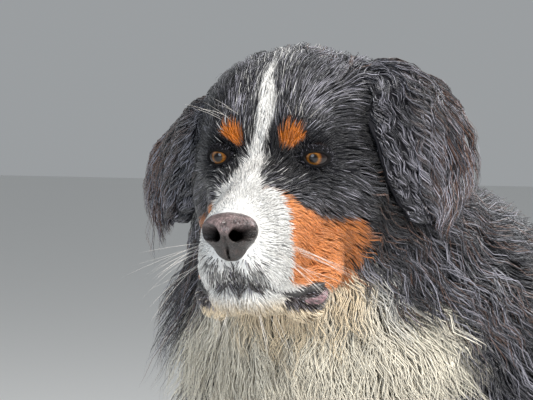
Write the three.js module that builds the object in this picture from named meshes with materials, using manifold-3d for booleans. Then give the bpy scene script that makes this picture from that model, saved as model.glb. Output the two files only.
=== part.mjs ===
// A Bernese mountain dog: an adult male, life size, standing square, its head turned a little to its left.
// Lengths are in millimetres. The dog faces -Y, its left is +X and up is +Z.
// The origin is on the floor, below the middle of the whole dog's bounding box.
import * as THREE from "three";
import { mergeVertices } from "three/addons/utils/BufferGeometryUtils.js";
import Module from "manifold-3d";

const wasm = await Module();
wasm.setup();

// Driving dimensions
const GAP = 0.35; // clear space kept between two touching nodes
const CENTRING = [-3, 26, 0]; // moves the middle of the dog's bounding box over the origin
const EYE_LEVEL = [9, -480, 756]; // the point midway between the eyes, before the dog is centred
const HEAD_TURN = 7.5; // degrees, towards the dog's left
const HEAD_NOD = 10; // degrees, nose down
const EYE_RADIUS = 12.2;
const EYE_SPREAD = 18; // degrees that each eye looks outwards
const EYE_CENTRE = [39, 9.5, 0]; // in the head's own frame
const FRONT_STAGGER = 10; // how far the left fore paw stands ahead of the middle
const HIND_STAGGER = 22; // how far the left hind paw stands ahead of the middle
const STAGGER_TOP = 470; // height at which the legs are back in line
const FINEST = 0.15; // smallest detail kept in a solid
const LONG_COAT = [26, 52]; // hair length where the coat turns from short to long
const LONG_COAT_CORE = 0.42; // share of a long coat's depth that is solid under its locks

// Maths of the flesh
const radians = THREE.MathUtils.degToRad;
const clamp = THREE.MathUtils.clamp;
const lerp = THREE.MathUtils.lerp;
const smoothstep = THREE.MathUtils.smoothstep;
const SIDES = { left: 1, right: -1 };

// A smooth minimum: two shapes flow into each other over about k millimetres.
function melt(a, b, k) {
  const near = Math.max(k - Math.abs(a - b), 0) / k;
  return Math.min(a, b) - (near * near * k) / 4;
}

// Distance from a point to an ellipsoid with its centre, radii, tilt about X and turn about Z in degrees.
function lobe(centre, radii, { tilt = 0, turn = 0 } = {}) {
  const [c, s] = [Math.cos(radians(tilt)), Math.sin(radians(tilt))];
  const [ct, st] = [Math.cos(radians(turn)), Math.sin(radians(turn))];
  return (x, y, z) => {
    const [dx, dy, dz] = [x - centre[0], y - centre[1], z - centre[2]];
    const tx = dx * ct + dy * st;
    const ty = -dx * st + dy * ct;
    const ly = ty * c + dz * s;
    const lz = -ty * s + dz * c;
    const a = Math.hypot(tx / radii[0], ly / radii[1], lz / radii[2]);
    const b = Math.hypot(tx / radii[0] ** 2, ly / radii[1] ** 2, lz / radii[2] ** 2);
    return b < 1e-9 ? -Math.min(...radii) : (a * (a - 1)) / b;
  };
}

// Distance from a point to a tapered round limb between two joints; flat narrows it across X.
function limb(from, to, startRadius, endRadius, flat = 1) {
  const axis = to.map((v, i) => v - from[i]);
  const long = axis.reduce((sum, v) => sum + v * v, 0);
  return (x, y, z) => {
    const off = [x - from[0], y - from[1], z - from[2]];
    const along = off.reduce((sum, v, i) => sum + v * axis[i], 0) / long;
    const t = clamp(along, 0, 1);
    const r = lerp(startRadius, endRadius, t);
    return (
      Math.hypot((off[0] - t * axis[0]) / flat, off[1] - t * axis[1], off[2] - t * axis[2]) - r
    );
  };
}

// A group of shapes as one field. Paired shapes are given on the dog's left and repeated on its right.
function group(k, single, paired, carved = []) {
  return (x, y, z) => {
    let d = Infinity;
    for (const shape of single) d = melt(d, shape(x, y, z), k);
    for (const shape of paired) d = melt(d, shape(Math.abs(x), y, z), k);
    for (const [shape, soft] of carved) d = -melt(-d, shape(Math.abs(x), y, z), soft);
    return d;
  };
}

// The head's own frame: its origin is between the eyes, -Y is forward along the muzzle.
const headMatrix = new THREE.Matrix4()
  .makeTranslation(...EYE_LEVEL)
  .multiply(new THREE.Matrix4().makeRotationZ(radians(HEAD_TURN)))
  .multiply(new THREE.Matrix4().makeRotationX(radians(HEAD_NOD)));
const headInverse = headMatrix.clone().invert();
const toBody = ([x, y, z]) => new THREE.Vector3(x, y, z).applyMatrix4(headMatrix).toArray();
const turnToBody = ([x, y, z]) =>
  new THREE.Vector3(x, y, z).transformDirection(headMatrix).toArray();

// The dog's flesh under the coat
const NECK_TOP = toBody([0, 102, -30]);
const neckFlesh = group(
  60,
  [
    limb([0, -205, 575], NECK_TOP, 122, 80, 0.98),
    limb([0, -270, 545], toBody([0, 66, -58]), 90, 42, 0.9),
  ],
  [],
);
const torsoFlesh = group(
  46,
  [
    lobe([0, -70, 500], [118, 240, 147]),
    lobe([0, -245, 492], [94, 106, 124]),
    lobe([0, -180, 588], [44, 130, 84]),
    lobe([0, 130, 536], [96, 205, 106]),
    lobe([0, 268, 540], [94, 120, 103]),
  ],
  [lobe([88, -222, 512], [48, 84, 150], { tilt: -18 }), lobe([78, 262, 462], [56, 112, 138])],
);
const trunkFlesh = (x, y, z) => melt(torsoFlesh(x, y, z), neckFlesh(x, y, z), 70);

const ELBOW = [103, -188, 372];
const CARPUS = [97, -216, 158];
const FORE_PASTERN = [97, -236, 62];
const STIFLE = [98, 196, 345];
const HOCK = [98, 364, 182];
const HIND_PASTERN = [96, 352, 66];
const foreFlesh = group(
  22,
  [],
  [
    limb([92, -286, 462], ELBOW, 58, 48),
    limb(ELBOW, [99, -206, 262], 47, 36),
    limb([99, -206, 262], CARPUS, 36, 29),
    limb(CARPUS, FORE_PASTERN, 29, 27),
    limb([103, -160, 372], [101, -170, 342], 30, 22),
  ],
);
const hindFlesh = group(
  24,
  [],
  [
    limb([80, 262, 480], [97, 214, 362], 88, 62, 0.74),
    limb([86, 330, 470], [98, 280, 330], 58, 36, 0.8),
    limb(STIFLE, [99, 286, 250], 52, 40, 0.85),
    limb([99, 286, 250], HOCK, 38, 25, 0.9),
    limb(HOCK, HIND_PASTERN, 26, 25),
    limb([98, 388, 196], [98, 380, 170], 15, 16),
  ],
);
const TAIL_LINE = [
  [0, 352, 604],
  [0, 412, 582],
  [0, 452, 505],
  [0, 466, 410],
  [0, 464, 320],
  [0, 454, 245],
  [0, 442, 190],
];
const TAIL_RADII = [38, 34, 30, 26, 22, 17, 10];
const tailFlesh = group(
  16,
  TAIL_LINE.slice(1).map((point, i) =>
    limb(TAIL_LINE[i], point, TAIL_RADII[i], TAIL_RADII[i + 1]),
  ),
  [],
);

// The head's flesh, in the head's own frame
const headShape = group(
  14,
  [
    limb([0, 4, -17], [0, -86, -31], 19.5, 15.5),
    limb([0, -66, -90], [0, 44, -76], 14, 21),
    lobe([0, 60, -64], [42, 52, 34]),
    lobe([0, 72, 13], [50, 67, 53]),
  ],
  [
    lobe([21, 66, 11], [41, 62, 50]),
    lobe([14, 31, 15], [24, 26, 29]),
    lobe([31, 15, 23], [16, 13, 9]),
    lobe([40, 38, -14], [21, 42, 20]),
    lobe([38, 56, -44], [24, 42, 36]),
    lobe([29, 0, -30], [16, 30, 17]),
    limb([13, 4, -46], [9, -78, -46], 28, 21),
    lobe([20, -42, -73], [15, 46, 23], { turn: 8 }),
    lobe([11, -85, -62], [14, 18, 17]),
    lobe([9, -70, -95], [12, 19, 13]),
    limb([16, -62, -96], [35, -36, -102], 12, 10),
    limb([35, -36, -102], [44, -4, -93], 10, 9),
    lobe([39, 4, -78], [12, 22, 16]),
    lobe([52, 84, 36], [14, 24, 18]),
  ],
  [[lobe([44, -8, 0], [17, 12, 11]), 10]],
);
function headFlesh(x, y, z) {
  const p = new THREE.Vector3(x, y, z).applyMatrix4(headInverse);
  return headShape(p.x, p.y, p.z);
}

// The legs of one side stand a little ahead of the other side's, by a slant that fades up the leg.
function stagger(x, y, z) {
  const reach = y < 0 ? -FRONT_STAGGER : -HIND_STAGGER;
  return Math.sign(x) * reach * (1 - smoothstep(z, 60, STAGGER_TOP));
}
const onLegs = (flesh) => (x, y, z) => flesh(x, y - stagger(x, y, z), z);
const standing = (side, [x, y, z]) => {
  const placed = [x * SIDES[side], y, z];
  return [placed[0], y + stagger(...placed), z];
};

const wholeFlesh = (x, y, z) => {
  let d = melt(trunkFlesh(x, y, z), headFlesh(x, y, z), 26);
  d = melt(d, onLegs(foreFlesh)(x, y, z), 30);
  d = melt(d, onLegs(hindFlesh)(x, y, z), 34);
  return melt(d, tailFlesh(x, y, z), 26);
};

// The coat: at each station its depth over the skin, its hair length and the way it lies.
// The body's stations are in the body's frame and the head's are in the head's. Each is used on both sides.
const coatStation = ([x, y, z, reach, depth, hair, lx, ly, lz]) => ({
  at: [x, y, z],
  reach,
  depth,
  hair,
  lie: [lx, ly, lz],
});
const BODY_COAT = [
  [0, -335, 800, 60, 26, 60, 0.0, 0.8, -0.6],
  [88, -325, 705, 60, 38, 90, 0.12, 0.5, -0.85],
  [0, -420, 672, 55, 32, 85, 0.0, 0.2, -1.0],
  [0, -382, 575, 60, 44, 110, 0.0, 0.05, -1.0],
  [98, -325, 600, 60, 38, 100, 0.15, 0.35, -0.95],
  [0, -352, 470, 60, 42, 105, 0.0, 0.2, -1.0],
  [0, -200, 368, 70, 36, 85, 0.0, 0.7, -0.5],
  [0, -185, 672, 70, 24, 65, 0.0, 1.0, -0.1],
  [132, -235, 520, 70, 24, 65, 0.05, 0.6, -0.8],
  [0, 0, 648, 80, 22, 60, 0.0, 1.0, -0.05],
  [124, -40, 510, 80, 26, 70, 0.0, 0.9, -0.5],
  [0, 80, 390, 80, 34, 80, 0.0, 0.8, -0.5],
  [92, -60, 400, 70, 32, 85, 0.0, 0.7, -0.75],
  [0, 150, 645, 80, 22, 60, 0.0, 1.0, -0.05],
  [96, 150, 490, 70, 26, 75, 0.0, 0.8, -0.65],
  [0, 305, 635, 70, 25, 65, 0.0, 1.0, -0.35],
  [118, 280, 520, 60, 24, 65, 0.05, 0.6, -0.85],
  [136, 235, 410, 60, 20, 55, 0.0, 0.45, -0.9],
  [85, 388, 455, 55, 40, 110, 0.05, 0.4, -1.0],
  [98, 332, 335, 50, 32, 85, 0.0, 0.35, -1.0],
  [124, -220, 400, 45, 20, 50, 0.0, 0.5, -0.9],
  [100, -255, 270, 38, 8, 24, 0.0, 0.1, -1.0],
  [102, -140, 355, 38, 32, 80, 0.0, 0.6, -0.8],
  [100, -165, 255, 34, 24, 65, 0.0, 0.5, -1.0],
  [98, -215, 150, 38, 8, 22, 0.0, 0.15, -1.0],
  [98, -236, 75, 38, 7, 20, 0.0, -0.1, -1.0],
  [98, -262, 34, 38, 6, 16, 0.0, -0.7, -0.7],
  [100, 225, 290, 40, 10, 28, 0.0, 0.6, -0.9],
  [100, 320, 262, 36, 22, 58, 0.0, 0.4, -1.0],
  [98, 388, 188, 36, 10, 30, 0.0, 0.2, -1.0],
  [98, 350, 110, 38, 7, 22, 0.0, 0.1, -1.0],
  [97, 326, 32, 38, 6, 16, 0.0, -0.7, -0.7],
  [0, 400, 610, 40, 26, 75, 0.0, 1.0, -0.5],
  [0, 455, 520, 45, 36, 100, 0.0, 0.5, -1.0],
  [0, 480, 400, 50, 40, 110, 0.0, 0.15, -1.0],
  [0, 470, 290, 50, 34, 100, 0.0, -0.05, -1.0],
  [0, 448, 200, 45, 20, 70, 0.0, -0.1, -1.0],
].map(coatStation);
const HEAD_COAT = [
  [0, -70, -12, 26, 2.5, 9, 0.0, 1.0, 0.05],
  [42, -52, -50, 28, 3, 11, 0.1, 0.85, -0.35],
  [30, -62, -96, 24, 3.5, 12, 0.1, 0.5, -0.8],
  [0, -84, -106, 24, 4, 12, 0.0, 0.6, -0.8],
  [0, -30, -106, 30, 9, 26, 0.0, 1.0, -0.35],
  [0, -6, 8, 22, 3, 9, 0.0, 0.7, 0.7],
  [34, -4, 30, 20, 3.5, 12, 0.25, 0.7, 0.6],
  [0, 22, 52, 30, 6, 16, 0.15, 0.85, 0.5],
  [0, 76, 68, 36, 10, 26, 0.15, 1.0, 0.0],
  [64, 58, 30, 34, 9, 22, 0.3, 1.0, -0.05],
  [60, 20, 2, 26, 4.5, 14, 0.25, 1.0, -0.1],
  [42, -10, -26, 24, 3, 10, 0.35, 0.85, -0.35],
  [70, 40, -42, 30, 9, 25, 0.2, 0.9, -0.4],
  [60, 24, -86, 28, 11, 32, 0.15, 0.75, -0.6],
  [74, 86, -56, 34, 20, 52, 0.1, 0.75, -0.7],
  [0, 128, 46, 40, 16, 44, 0.1, 0.9, -0.5],
  [0, 40, -106, 36, 20, 55, 0.0, 0.7, -0.7],
].map((row) => {
  const station = coatStation(row);
  return {
    ...station,
    at: toBody(station.at),
    mirror: toBody([-row[0], row[1], row[2]]),
    lie: turnToBody(station.lie),
    mirrorLie: turnToBody([-row[6], row[7], row[8]]),
  };
});

// The coat at a point is the average of the stations near it, each weighted by a bell curve of its reach.
function coatAt(x, y, z) {
  const sum = { depth: 0, hair: 0, lie: [0, 0, 0] };
  let total = 1e-12;
  const add = (station, at, lie) => {
    const square = (x - at[0]) ** 2 + (y - at[1]) ** 2 + (z - at[2]) ** 2;
    const w = Math.exp(-square / (2 * station.reach ** 2));
    total += w;
    sum.depth += w * station.depth;
    sum.hair += w * station.hair;
    lie.forEach((v, i) => (sum.lie[i] += w * v));
  };
  for (const s of BODY_COAT) {
    const side = Math.sign(x) || 1;
    add(s, [s.at[0] * side, s.at[1], s.at[2]], [s.lie[0] * side, s.lie[1], s.lie[2]]);
  }
  for (const s of HEAD_COAT) {
    add(s, s.at, s.lie);
    if (s.at[0] !== s.mirror[0]) add(s, s.mirror, s.mirrorLie);
  }
  return { depth: sum.depth / total, hair: sum.hair / total, lie: sum.lie };
}

// How far the solid form stands over the skin: all of a short coat, and under half of a long one.
function coreDepth(x, y, z) {
  const coat = coatAt(x, y, z);
  const long = smoothstep(coat.hair, ...LONG_COAT);
  return coat.depth * lerp(1, LONG_COAT_CORE, long);
}

// Surfaces and solids
const vector = (p) => new THREE.Vector3(...p);
const path = (points) => new THREE.CatmullRomCurve3(points.map(vector), false, "centripetal");
const UP = vector([0, 0, 1]);
const FORWARD = vector([0, -1, 0]);
const SIDEWAYS = vector([1, 0, 0]);

// The value at a share of the way along a list, straight between its entries.
function ramp(values, share) {
  const at = clamp(share, 0, 1) * (values.length - 1);
  const i = Math.min(Math.floor(at), values.length - 2);
  return lerp(values[i], values[i + 1], at - i);
}

// A closed geometry from rings of points, each end closed by a fan to its own middle.
function loft(rings) {
  const around = rings[0].length;
  const points = rings.flat();
  const middle = (ring) =>
    ring.reduce((sum, p) => sum.add(p), vector([0, 0, 0])).divideScalar(around);
  const start = points.push(middle(rings[0])) - 1;
  const end = points.push(middle(rings.at(-1))) - 1;
  const index = [];
  for (let i = 0; i < around; i++) {
    const next = (i + 1) % around;
    index.push(start, next, i);
    const last = (rings.length - 1) * around;
    index.push(end, last + i, last + next);
    for (let j = 0; j < rings.length - 1; j++) {
      const [a, b] = [j * around + i, j * around + next];
      index.push(a, b, b + around, a, b + around, a + around);
    }
  }
  const geometry = new THREE.BufferGeometry().setFromPoints(points);
  geometry.setIndex(index);
  return geometry;
}

// A closed geometry as a solid, turned the right way out.
function solid(geometry) {
  const bare = geometry.clone();
  bare.deleteAttribute("normal");
  bare.deleteAttribute("uv");
  const merged = mergeVertices(bare, 1e-3);
  const triVerts = new Uint32Array(merged.index.array);
  const vertProperties = merged.attributes.position.array;
  let volume = 0;
  const at = (i) => new THREE.Vector3().fromArray(vertProperties, triVerts[i] * 3);
  for (let i = 0; i < triVerts.length; i += 3) volume += at(i).dot(at(i + 1).cross(at(i + 2)));
  if (volume < 0)
    for (let i = 0; i < triVerts.length; i += 3)
      [triVerts[i + 1], triVerts[i + 2]] = [triVerts[i + 2], triVerts[i + 1]];
  return new wasm.Manifold(new wasm.Mesh({ numProp: 3, vertProperties, triVerts }));
}

const fuse = (solids) => wasm.Manifold.union(solids);

// A solid without the others, which have been made a little larger than they are.
const without = (made, others) => (others.length ? made.subtract(fuse(others)) : made);

// The largest closed surface of a solid, without the scraps and sealed hollows that fusing leaves.
function largestSurface(made) {
  const { vertProperties, triVerts } = made.simplify(FINEST).getMesh();
  const owner = Array.from({ length: vertProperties.length / 3 }, (_, i) => i);
  const find = (i) => {
    while (owner[i] !== i) i = owner[i] = owner[owner[i]];
    return i;
  };
  for (let i = 0; i < triVerts.length; i += 3) {
    owner[find(triVerts[i + 1])] = find(triVerts[i]);
    owner[find(triVerts[i + 2])] = find(triVerts[i]);
  }
  const at = (i) => vector(vertProperties.slice(triVerts[i] * 3, triVerts[i] * 3 + 3));
  const surfaces = new Map();
  for (let i = 0; i < triVerts.length; i += 3) {
    const key = find(triVerts[i]);
    if (!surfaces.has(key)) surfaces.set(key, { volume: 0, index: [] });
    const surface = surfaces.get(key);
    surface.volume += at(i).dot(at(i + 1).cross(at(i + 2)));
    surface.index.push(triVerts[i], triVerts[i + 1], triVerts[i + 2]);
  }
  const { index } = [...surfaces.values()].reduce((a, b) => (b.volume > a.volume ? b : a));
  const geometry = new THREE.BufferGeometry();
  geometry.setAttribute("position", new THREE.BufferAttribute(vertProperties, 3));
  geometry.setIndex(index);
  return geometry;
}

// The direction in which a field grows fastest, by central differences.
function outward(field, [x, y, z]) {
  const e = 1.5;
  return new THREE.Vector3(
    field(x + e, y, z) - field(x - e, y, z),
    field(x, y + e, z) - field(x, y - e, z),
    field(x, y, z + e) - field(x, y, z - e),
  ).normalize();
}

// Moves a point along the field's slope until the field there is nought.
function settle(field, point) {
  let p = [...point];
  for (let i = 0; i < 4; i++) {
    const n = outward(field, p);
    const miss = field(...p);
    p = p.map((v, k) => v - n.getComponent(k) * miss * 0.9);
  }
  return p;
}

// The distance along a ray at which a field first turns positive, up to a limit.
function rayHit(field, origin, direction, limit) {
  const at = (t) => field(...origin.clone().addScaledVector(direction, t).toArray());
  let inside = 0;
  let outside = limit;
  for (let t = 5; t < limit; t += 5) {
    if (at(t) > 0) {
      outside = t;
      break;
    }
    inside = t;
  }
  if (outside === limit) return limit;
  for (let i = 0; i < 12; i++) {
    const middle = (inside + outside) / 2;
    if (at(middle) > 0) outside = middle;
    else inside = middle;
  }
  return outside;
}

// A point on a path with the way the path runs and two directions across it.
function frameOn(curve, t, up) {
  const along = curve.getTangentAt(t);
  const across = new THREE.Vector3().crossVectors(along, up).normalize();
  const over = new THREE.Vector3().crossVectors(across, along).normalize();
  return { point: curve.getPointAt(t), along, across, over };
}

// The direction that leaves a path at a turn about it and at a lean: 0 back along it, 90 straight out.
function leave({ along, across, over }, turn, lean) {
  return across
    .clone()
    .multiplyScalar(Math.sin(turn))
    .addScaledVector(over, Math.cos(turn))
    .multiplyScalar(Math.sin(radians(lean)))
    .addScaledVector(along, -Math.cos(radians(lean)));
}

// Stations along a path, each a share of its length and a lean, with rays fanned out at both ends.
function evenStations(count, startFan, endFan) {
  const between = Array.from({ length: count }, (_, i) => [i / (count - 1), 90]);
  return [...startFan.map((lean) => [0, lean]), ...between, ...endFan.map((lean) => [1, lean])];
}

// A skin round a path: rays leave it at each station and stop where the field ends.
function skinRound({ line, stations, around, field, limit = 320, up = UP, grow = 0 }) {
  const curve = path(line);
  const rings = stations.map(([t, lean]) => {
    const frame = frameOn(curve, t, up);
    return Array.from({ length: around }, (_, i) => {
      const ray = leave(frame, (i / around) * Math.PI * 2, lean);
      return frame.point.clone().addScaledVector(ray, rayHit(field, frame.point, ray, limit) + grow);
    });
  });
  return solid(loft(rings));
}

// A bar swept along a path with its radius given from start to end
function sweep({ line, radii, sides = 6, steps = radii.length, up = UP }) {
  const curve = path(line);
  const rings = Array.from({ length: steps }, (_, j) => {
    const t = j / (steps - 1);
    const { point, across, over } = frameOn(curve, t, up);
    const r = ramp(radii, t);
    return Array.from({ length: sides }, (_, i) => {
      const turn = ((i + 0.5) / sides) * Math.PI * 2;
      return point
        .clone()
        .addScaledVector(across, Math.cos(turn) * r)
        .addScaledVector(over, Math.sin(turn) * r);
    });
  });
  return solid(loft(rings));
}

// Seeded random numbers from 0 to 1, the same on every run
function randomFrom(seed) {
  let state = seed;
  return () => {
    state = (Math.imul(state, 1664525) + 1013904223) >>> 0;
    return state / 4294967296;
  };
}

// The solid forms follow one field, so that they flow into each other where they meet.
const FILLET = 14; // how far a part's own form may swell where it flows into the next
const INSET = 1.5; // how far a leg stays under the trunk's form where both would be level
const wholeCore = (x, y, z) => wholeFlesh(x, y, z) - coreDepth(x, y, z);
const partCore = (flesh) => (x, y, z) => {
  const depth = coreDepth(x, y, z);
  return Math.max(wholeFlesh(x, y, z) - depth, flesh(x, y, z) - depth - FILLET);
};
const insetCore = (flesh) => (x, y, z) => {
  const depth = coreDepth(x, y, z);
  const clear = smoothstep(trunkFlesh(x, y, z) - depth, FILLET - 6, FILLET + 12);
  const inset = wholeFlesh(x, y, z) - depth + INSET * (1 - clear);
  return Math.max(inset, flesh(x, y, z) - depth - FILLET);
};

// Head
const NECK_CUT = { normal: turnToBody([0, 0.878, -0.479]), through: toBody([0, 125, 50]) };
const CHEST_CUT = { normal: [0, 0.765, -0.646], through: [0, -235, 660] };
const HEAD_LINE = [
  [0, -74, -56],
  [0, -40, -52],
  [0, 0, -38],
  [0, 44, -16],
  [0, 84, -6],
  [0, 120, -14],
].map(toBody);

const eyeCentre = (side) => [EYE_CENTRE[0] * SIDES[side], EYE_CENTRE[1], EYE_CENTRE[2]];

// The direction from the middle of an eyeball at an angle outwards and upwards, in the head's frame
function gaze(side, outwards, upwards) {
  const turn = radians(EYE_SPREAD + outwards);
  const rise = radians(upwards);
  return [
    Math.sin(turn) * Math.cos(rise) * SIDES[side],
    -Math.cos(turn) * Math.cos(rise),
    Math.sin(rise),
  ];
}

// The opening between the lids: an almond whose outer corner is a little lower.
const LID_CORNERS = 56; // degrees from the middle of the eye to each corner
const UPPER_LID = 30;
const LOWER_LID = 26;
const LID_SLANT = 0.06; // how much the outer corner drops for each degree outwards
function lidOpening(side, scale, distance) {
  return Array.from({ length: 16 }, (_, i) => {
    const turn = (i / 16) * Math.PI * 2;
    const high = Math.sin(turn) > 0 ? UPPER_LID : LOWER_LID;
    const outwards = Math.cos(turn) * LID_CORNERS;
    const upwards = Math.sign(Math.sin(turn)) * Math.abs(Math.sin(turn)) ** 1.2 * high;
    const aim = gaze(side, outwards * scale, (upwards - outwards * LID_SLANT) * scale);
    return vector(eyeCentre(side).map((v, k) => v + aim[k] * distance)).applyMatrix4(headMatrix);
  });
}
const eyeball = (side, grow = 0) => {
  const ball = new THREE.SphereGeometry(EYE_RADIUS + grow, 12, 8);
  return solid(ball.translate(...toBody(eyeCentre(side))));
};
const lids = (side) =>
  solid(
    new THREE.TubeGeometry(
      new THREE.CatmullRomCurve3(lidOpening(side, 1.14, EYE_RADIUS + 0.4), true),
      16,
      2.6,
      5,
      true,
    ),
  );
const lidSlit = (side) =>
  solid(loft([lidOpening(side, 0.9, 2), lidOpening(side, 1, EYE_RADIUS + 4), lidOpening(side, 1, 34)]));

// The line of the mouth, from the middle of the front to the corner, on the dog's left
const MOUTH_LINE = [
  [0, -101, -77],
  [12, -97, -81],
  [23, -88, -87],
  [32, -71, -94],
  [44, -49, -96],
  [57, -26, -94],
];
const onHead = (point, sink = 0) => {
  const settled = settle(wholeCore, toBody(point));
  const n = outward(wholeCore, settled);
  return settled.map((v, i) => v - n.getComponent(i) * sink);
};
const mirrored = (side, line) => line.map(([x, y, z]) => [x * SIDES[side], y, z]);
const bothWays = (line) => [...mirrored("right", line.slice(1)).reverse(), ...line];
const mouthSlit = () =>
  sweep({
    line: bothWays(MOUTH_LINE).map((p) => onHead(p, 0.5)),
    radii: [1.2, 2.6, 2.6, 2.6, 2.6, 2.6, 2.6, 2.6, 1.2],
    sides: 4,
    steps: 11,
  });
const upperLip = () =>
  sweep({
    line: bothWays(MOUTH_LINE.map(([x, y, z]) => [x * 1.02, y, z + 5])).map((p) => onHead(p, 1)),
    radii: [1.5, 3.4, 3.6, 3, 2.4, 3, 3.6, 3.4, 1.5],
    sides: 4,
    steps: 11,
  });
const lowerLip = (side) =>
  sweep({
    line: mirrored(side, [
      [38, -60, -104],
      [45, -50, -106],
      [53, -38, -105],
      [58, -24, -100],
    ]).map((p) => onHead(p, 0)),
    radii: [1.5, 3.8, 4.2, 1.8],
    sides: 5,
    steps: 6,
  });

// The nose leather, in the head's own frame
const noseShape = group(
  7,
  [lobe([0, -103, -34], [16, 15, 12.5]), lobe([0, -101, -48], [9, 11, 11])],
  [lobe([12, -102, -36], [10.5, 12.5, 11])],
);
const noseField = (x, y, z) => {
  const p = vector([x, y, z]).applyMatrix4(headInverse);
  return noseShape(p.x, p.y, p.z);
};
const nosePad = (grow = 0) =>
  skinRound({
    line: [[0, -107, -36], [0, -94, -36]].map(toBody),
    stations: [[0, 10], [0, 32], [0, 55], [0, 76], [0.5, 90], [1, 110], [1, 150]],
    around: 16,
    field: noseField,
    limit: 40,
    grow,
  });
const nostril = (side) =>
  fuse([
    sweep({
      line: mirrored(side, [[7.5, -128, -35], [8.5, -113, -37], [12, -104, -38]]).map(toBody),
      radii: [4.4, 4.4, 3],
      steps: 5,
    }),
    sweep({
      line: mirrored(side, [[9, -122, -41], [17, -116, -42], [27, -106, -38]]).map(toBody),
      radii: [2.4, 2, 1.6],
      steps: 5,
    }),
  ]);
const philtrum = () =>
  sweep({
    line: [[0, -122, -41], [0, -115, -52], [0, -107, -64]].map(toBody),
    radii: [1.2, 1.8, 1.8],
    up: FORWARD,
  });

// Locks of the long coat
const LOCK_STEPS = [0, 0.34, 0.7, 1];
const LOCK_WIDTHS = [0.6, 1, 0.76, 0.14];
const LOCK_HEIGHTS = [0, 0.6, 0.95, 1];
const LOCK_ENDS = [-1, 0, 0, 1]; // the way each section moves along a lock that grows
const LEAST_RISE = 6; // locks are left out where the coat is too short to stand up this far
const LOCK_SUNK = 6; // how deep a lock's root sits under the surface it grows from

// One section of a lock: a low ridge with a flat underside. Its edges are sharp, so they grow sideways most.
const UNDERSIDE = 0.6; // depth of the underside as a share of the ridge's height
function lockRing({ middle, side, over }, half, deep, grow) {
  const edge = (sign) =>
    middle
      .clone()
      .addScaledVector(side, sign * (half + grow * 3))
      .addScaledVector(over, -deep * UNDERSIDE - grow / 2);
  return [edge(1), middle.clone().addScaledVector(over, deep + grow), edge(-1)];
}

// The ears: soft folded leather that hangs beside the cheek, hollow on its inner side
// The right one hangs lower and more open than the left one.
const EAR_LINE = {
  left: [
    [56, 84, 50],
    [75, 84, 57],
    [91, 86, 46],
    [99, 90, 13],
    [103, 93, -28],
    [104, 95, -74],
  ],
  right: [
    [57, 88, 26],
    [74, 91, 27],
    [91, 92, 14],
    [101, 92, -12],
    [108, 92, -44],
    [111, 93, -77],
  ],
};
const EAR_START = { left: [0.16, 0.97, -0.14], right: [0.35, 0.93, -0.1] };
const EAR_END = { left: [0.3, 0.95, 0.05], right: [0.6, 0.8, 0.03] };
const EAR = {
  halfWidth: [17, 27, 37, 44, 45, 41, 31, 7],
  cup: [4, 7, 10, 10, 8, 7, 5, 2],
  thickness: [10, 10, 9, 8.5, 8, 8, 7, 5],
};
const EAR_ACROSS = [-1, -0.7, -0.25, 0.25, 0.7, 1];
const EAR_STEPS = 7;
function earPoint(side, u, v, lift, slide = 0) {
  const curve = path(EAR_LINE[side]);
  const along = curve.getTangentAt(u);
  const across = vector(EAR_START[side]).lerp(vector(EAR_END[side]), Math.min(1, u * 2));
  across.addScaledVector(along, -across.dot(along)).normalize();
  const n = new THREE.Vector3().crossVectors(along, across).normalize();
  const p = curve
    .getPointAt(u)
    .addScaledVector(along, slide)
    .addScaledVector(across, ramp(EAR.halfWidth, u) * v)
    .addScaledVector(n, lift - ramp(EAR.cup, u) * v * v);
  return vector([p.x * SIDES[side], p.y, p.z]).applyMatrix4(headMatrix);
}
function earLeather(side, grow = 0) {
  const rings = Array.from({ length: EAR_STEPS + 1 }, (_, j) => {
    const u = j / EAR_STEPS;
    const half = ramp(EAR.thickness, u) / 2;
    const edge = 1 + grow / ramp(EAR.halfWidth, u);
    const slide = j === 0 ? -grow : j === EAR_STEPS ? grow : 0;
    const face = (sign) =>
      EAR_ACROSS.map((v) =>
        earPoint(side, u, v * edge, sign * (half * (1 - 0.6 * v * v) + grow), slide),
      );
    return [...face(1), ...face(-1).reverse()];
  });
  return solid(loft(rings));
}

// The wavy fringe of an ear: each lock is [share down the ear, place across it, length, lean to the back]
const EAR_FRINGE = [
  [0.2, 0.55, 95, 1.1],
  [0.34, 0.8, 95, 0.8],
  [0.5, 0.75, 90, 0.5],
  [0.66, 0.7, 80, 0.3],
  [0.8, 0.35, 66, 0.12],
  [0.82, -0.3, 52, 0.02],
  [0.4, 0.1, 80, 0.3],
  [0.55, -0.45, 70, 0],
];
const EAR_LOCK_WIDTH = 14;
const EAR_LOCK_THICKNESS = 4.5;
const LAST_RING = LOCK_STEPS.length - 1;
const TIP_THICKNESS = 0.4; // share of a lock's thickness that is left at its tip
function earLock(side, [u, v, length, back], grow = 0) {
  const start = earPoint(side, u, v, 1);
  const down = earPoint(side, Math.min(u + 0.1, 1), v, 1).sub(start).normalize();
  const rear = earPoint(side, u, v + 0.2, 1).sub(start).normalize();
  const over = new THREE.Vector3().crossVectors(rear, down).normalize();
  if (over.x * SIDES[side] < 0) over.negate();
  const rings = LOCK_STEPS.map((step, k) => {
    const walked = step * length + LOCK_ENDS[k] * grow;
    const middle = start
      .clone()
      .addScaledVector(down, walked * (1 - 0.3 * back))
      .addScaledVector(rear, walked * back * (1 - 0.35 * step))
      .addScaledVector(over, Math.sin(step * Math.PI * 0.8) * 9)
      .addScaledVector(UP, -0.12 * length * step * step);
    const deep = (k === LAST_RING ? TIP_THICKNESS : 1) * EAR_LOCK_THICKNESS;
    return lockRing({ middle, side: rear, over }, LOCK_WIDTHS[k] * EAR_LOCK_WIDTH, deep, grow);
  });
  return solid(loft(rings));
}
const ear = (side, grow = 0) =>
  fuse([earLeather(side, grow), ...EAR_FRINGE.map((one) => earLock(side, one, grow))]);

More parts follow.
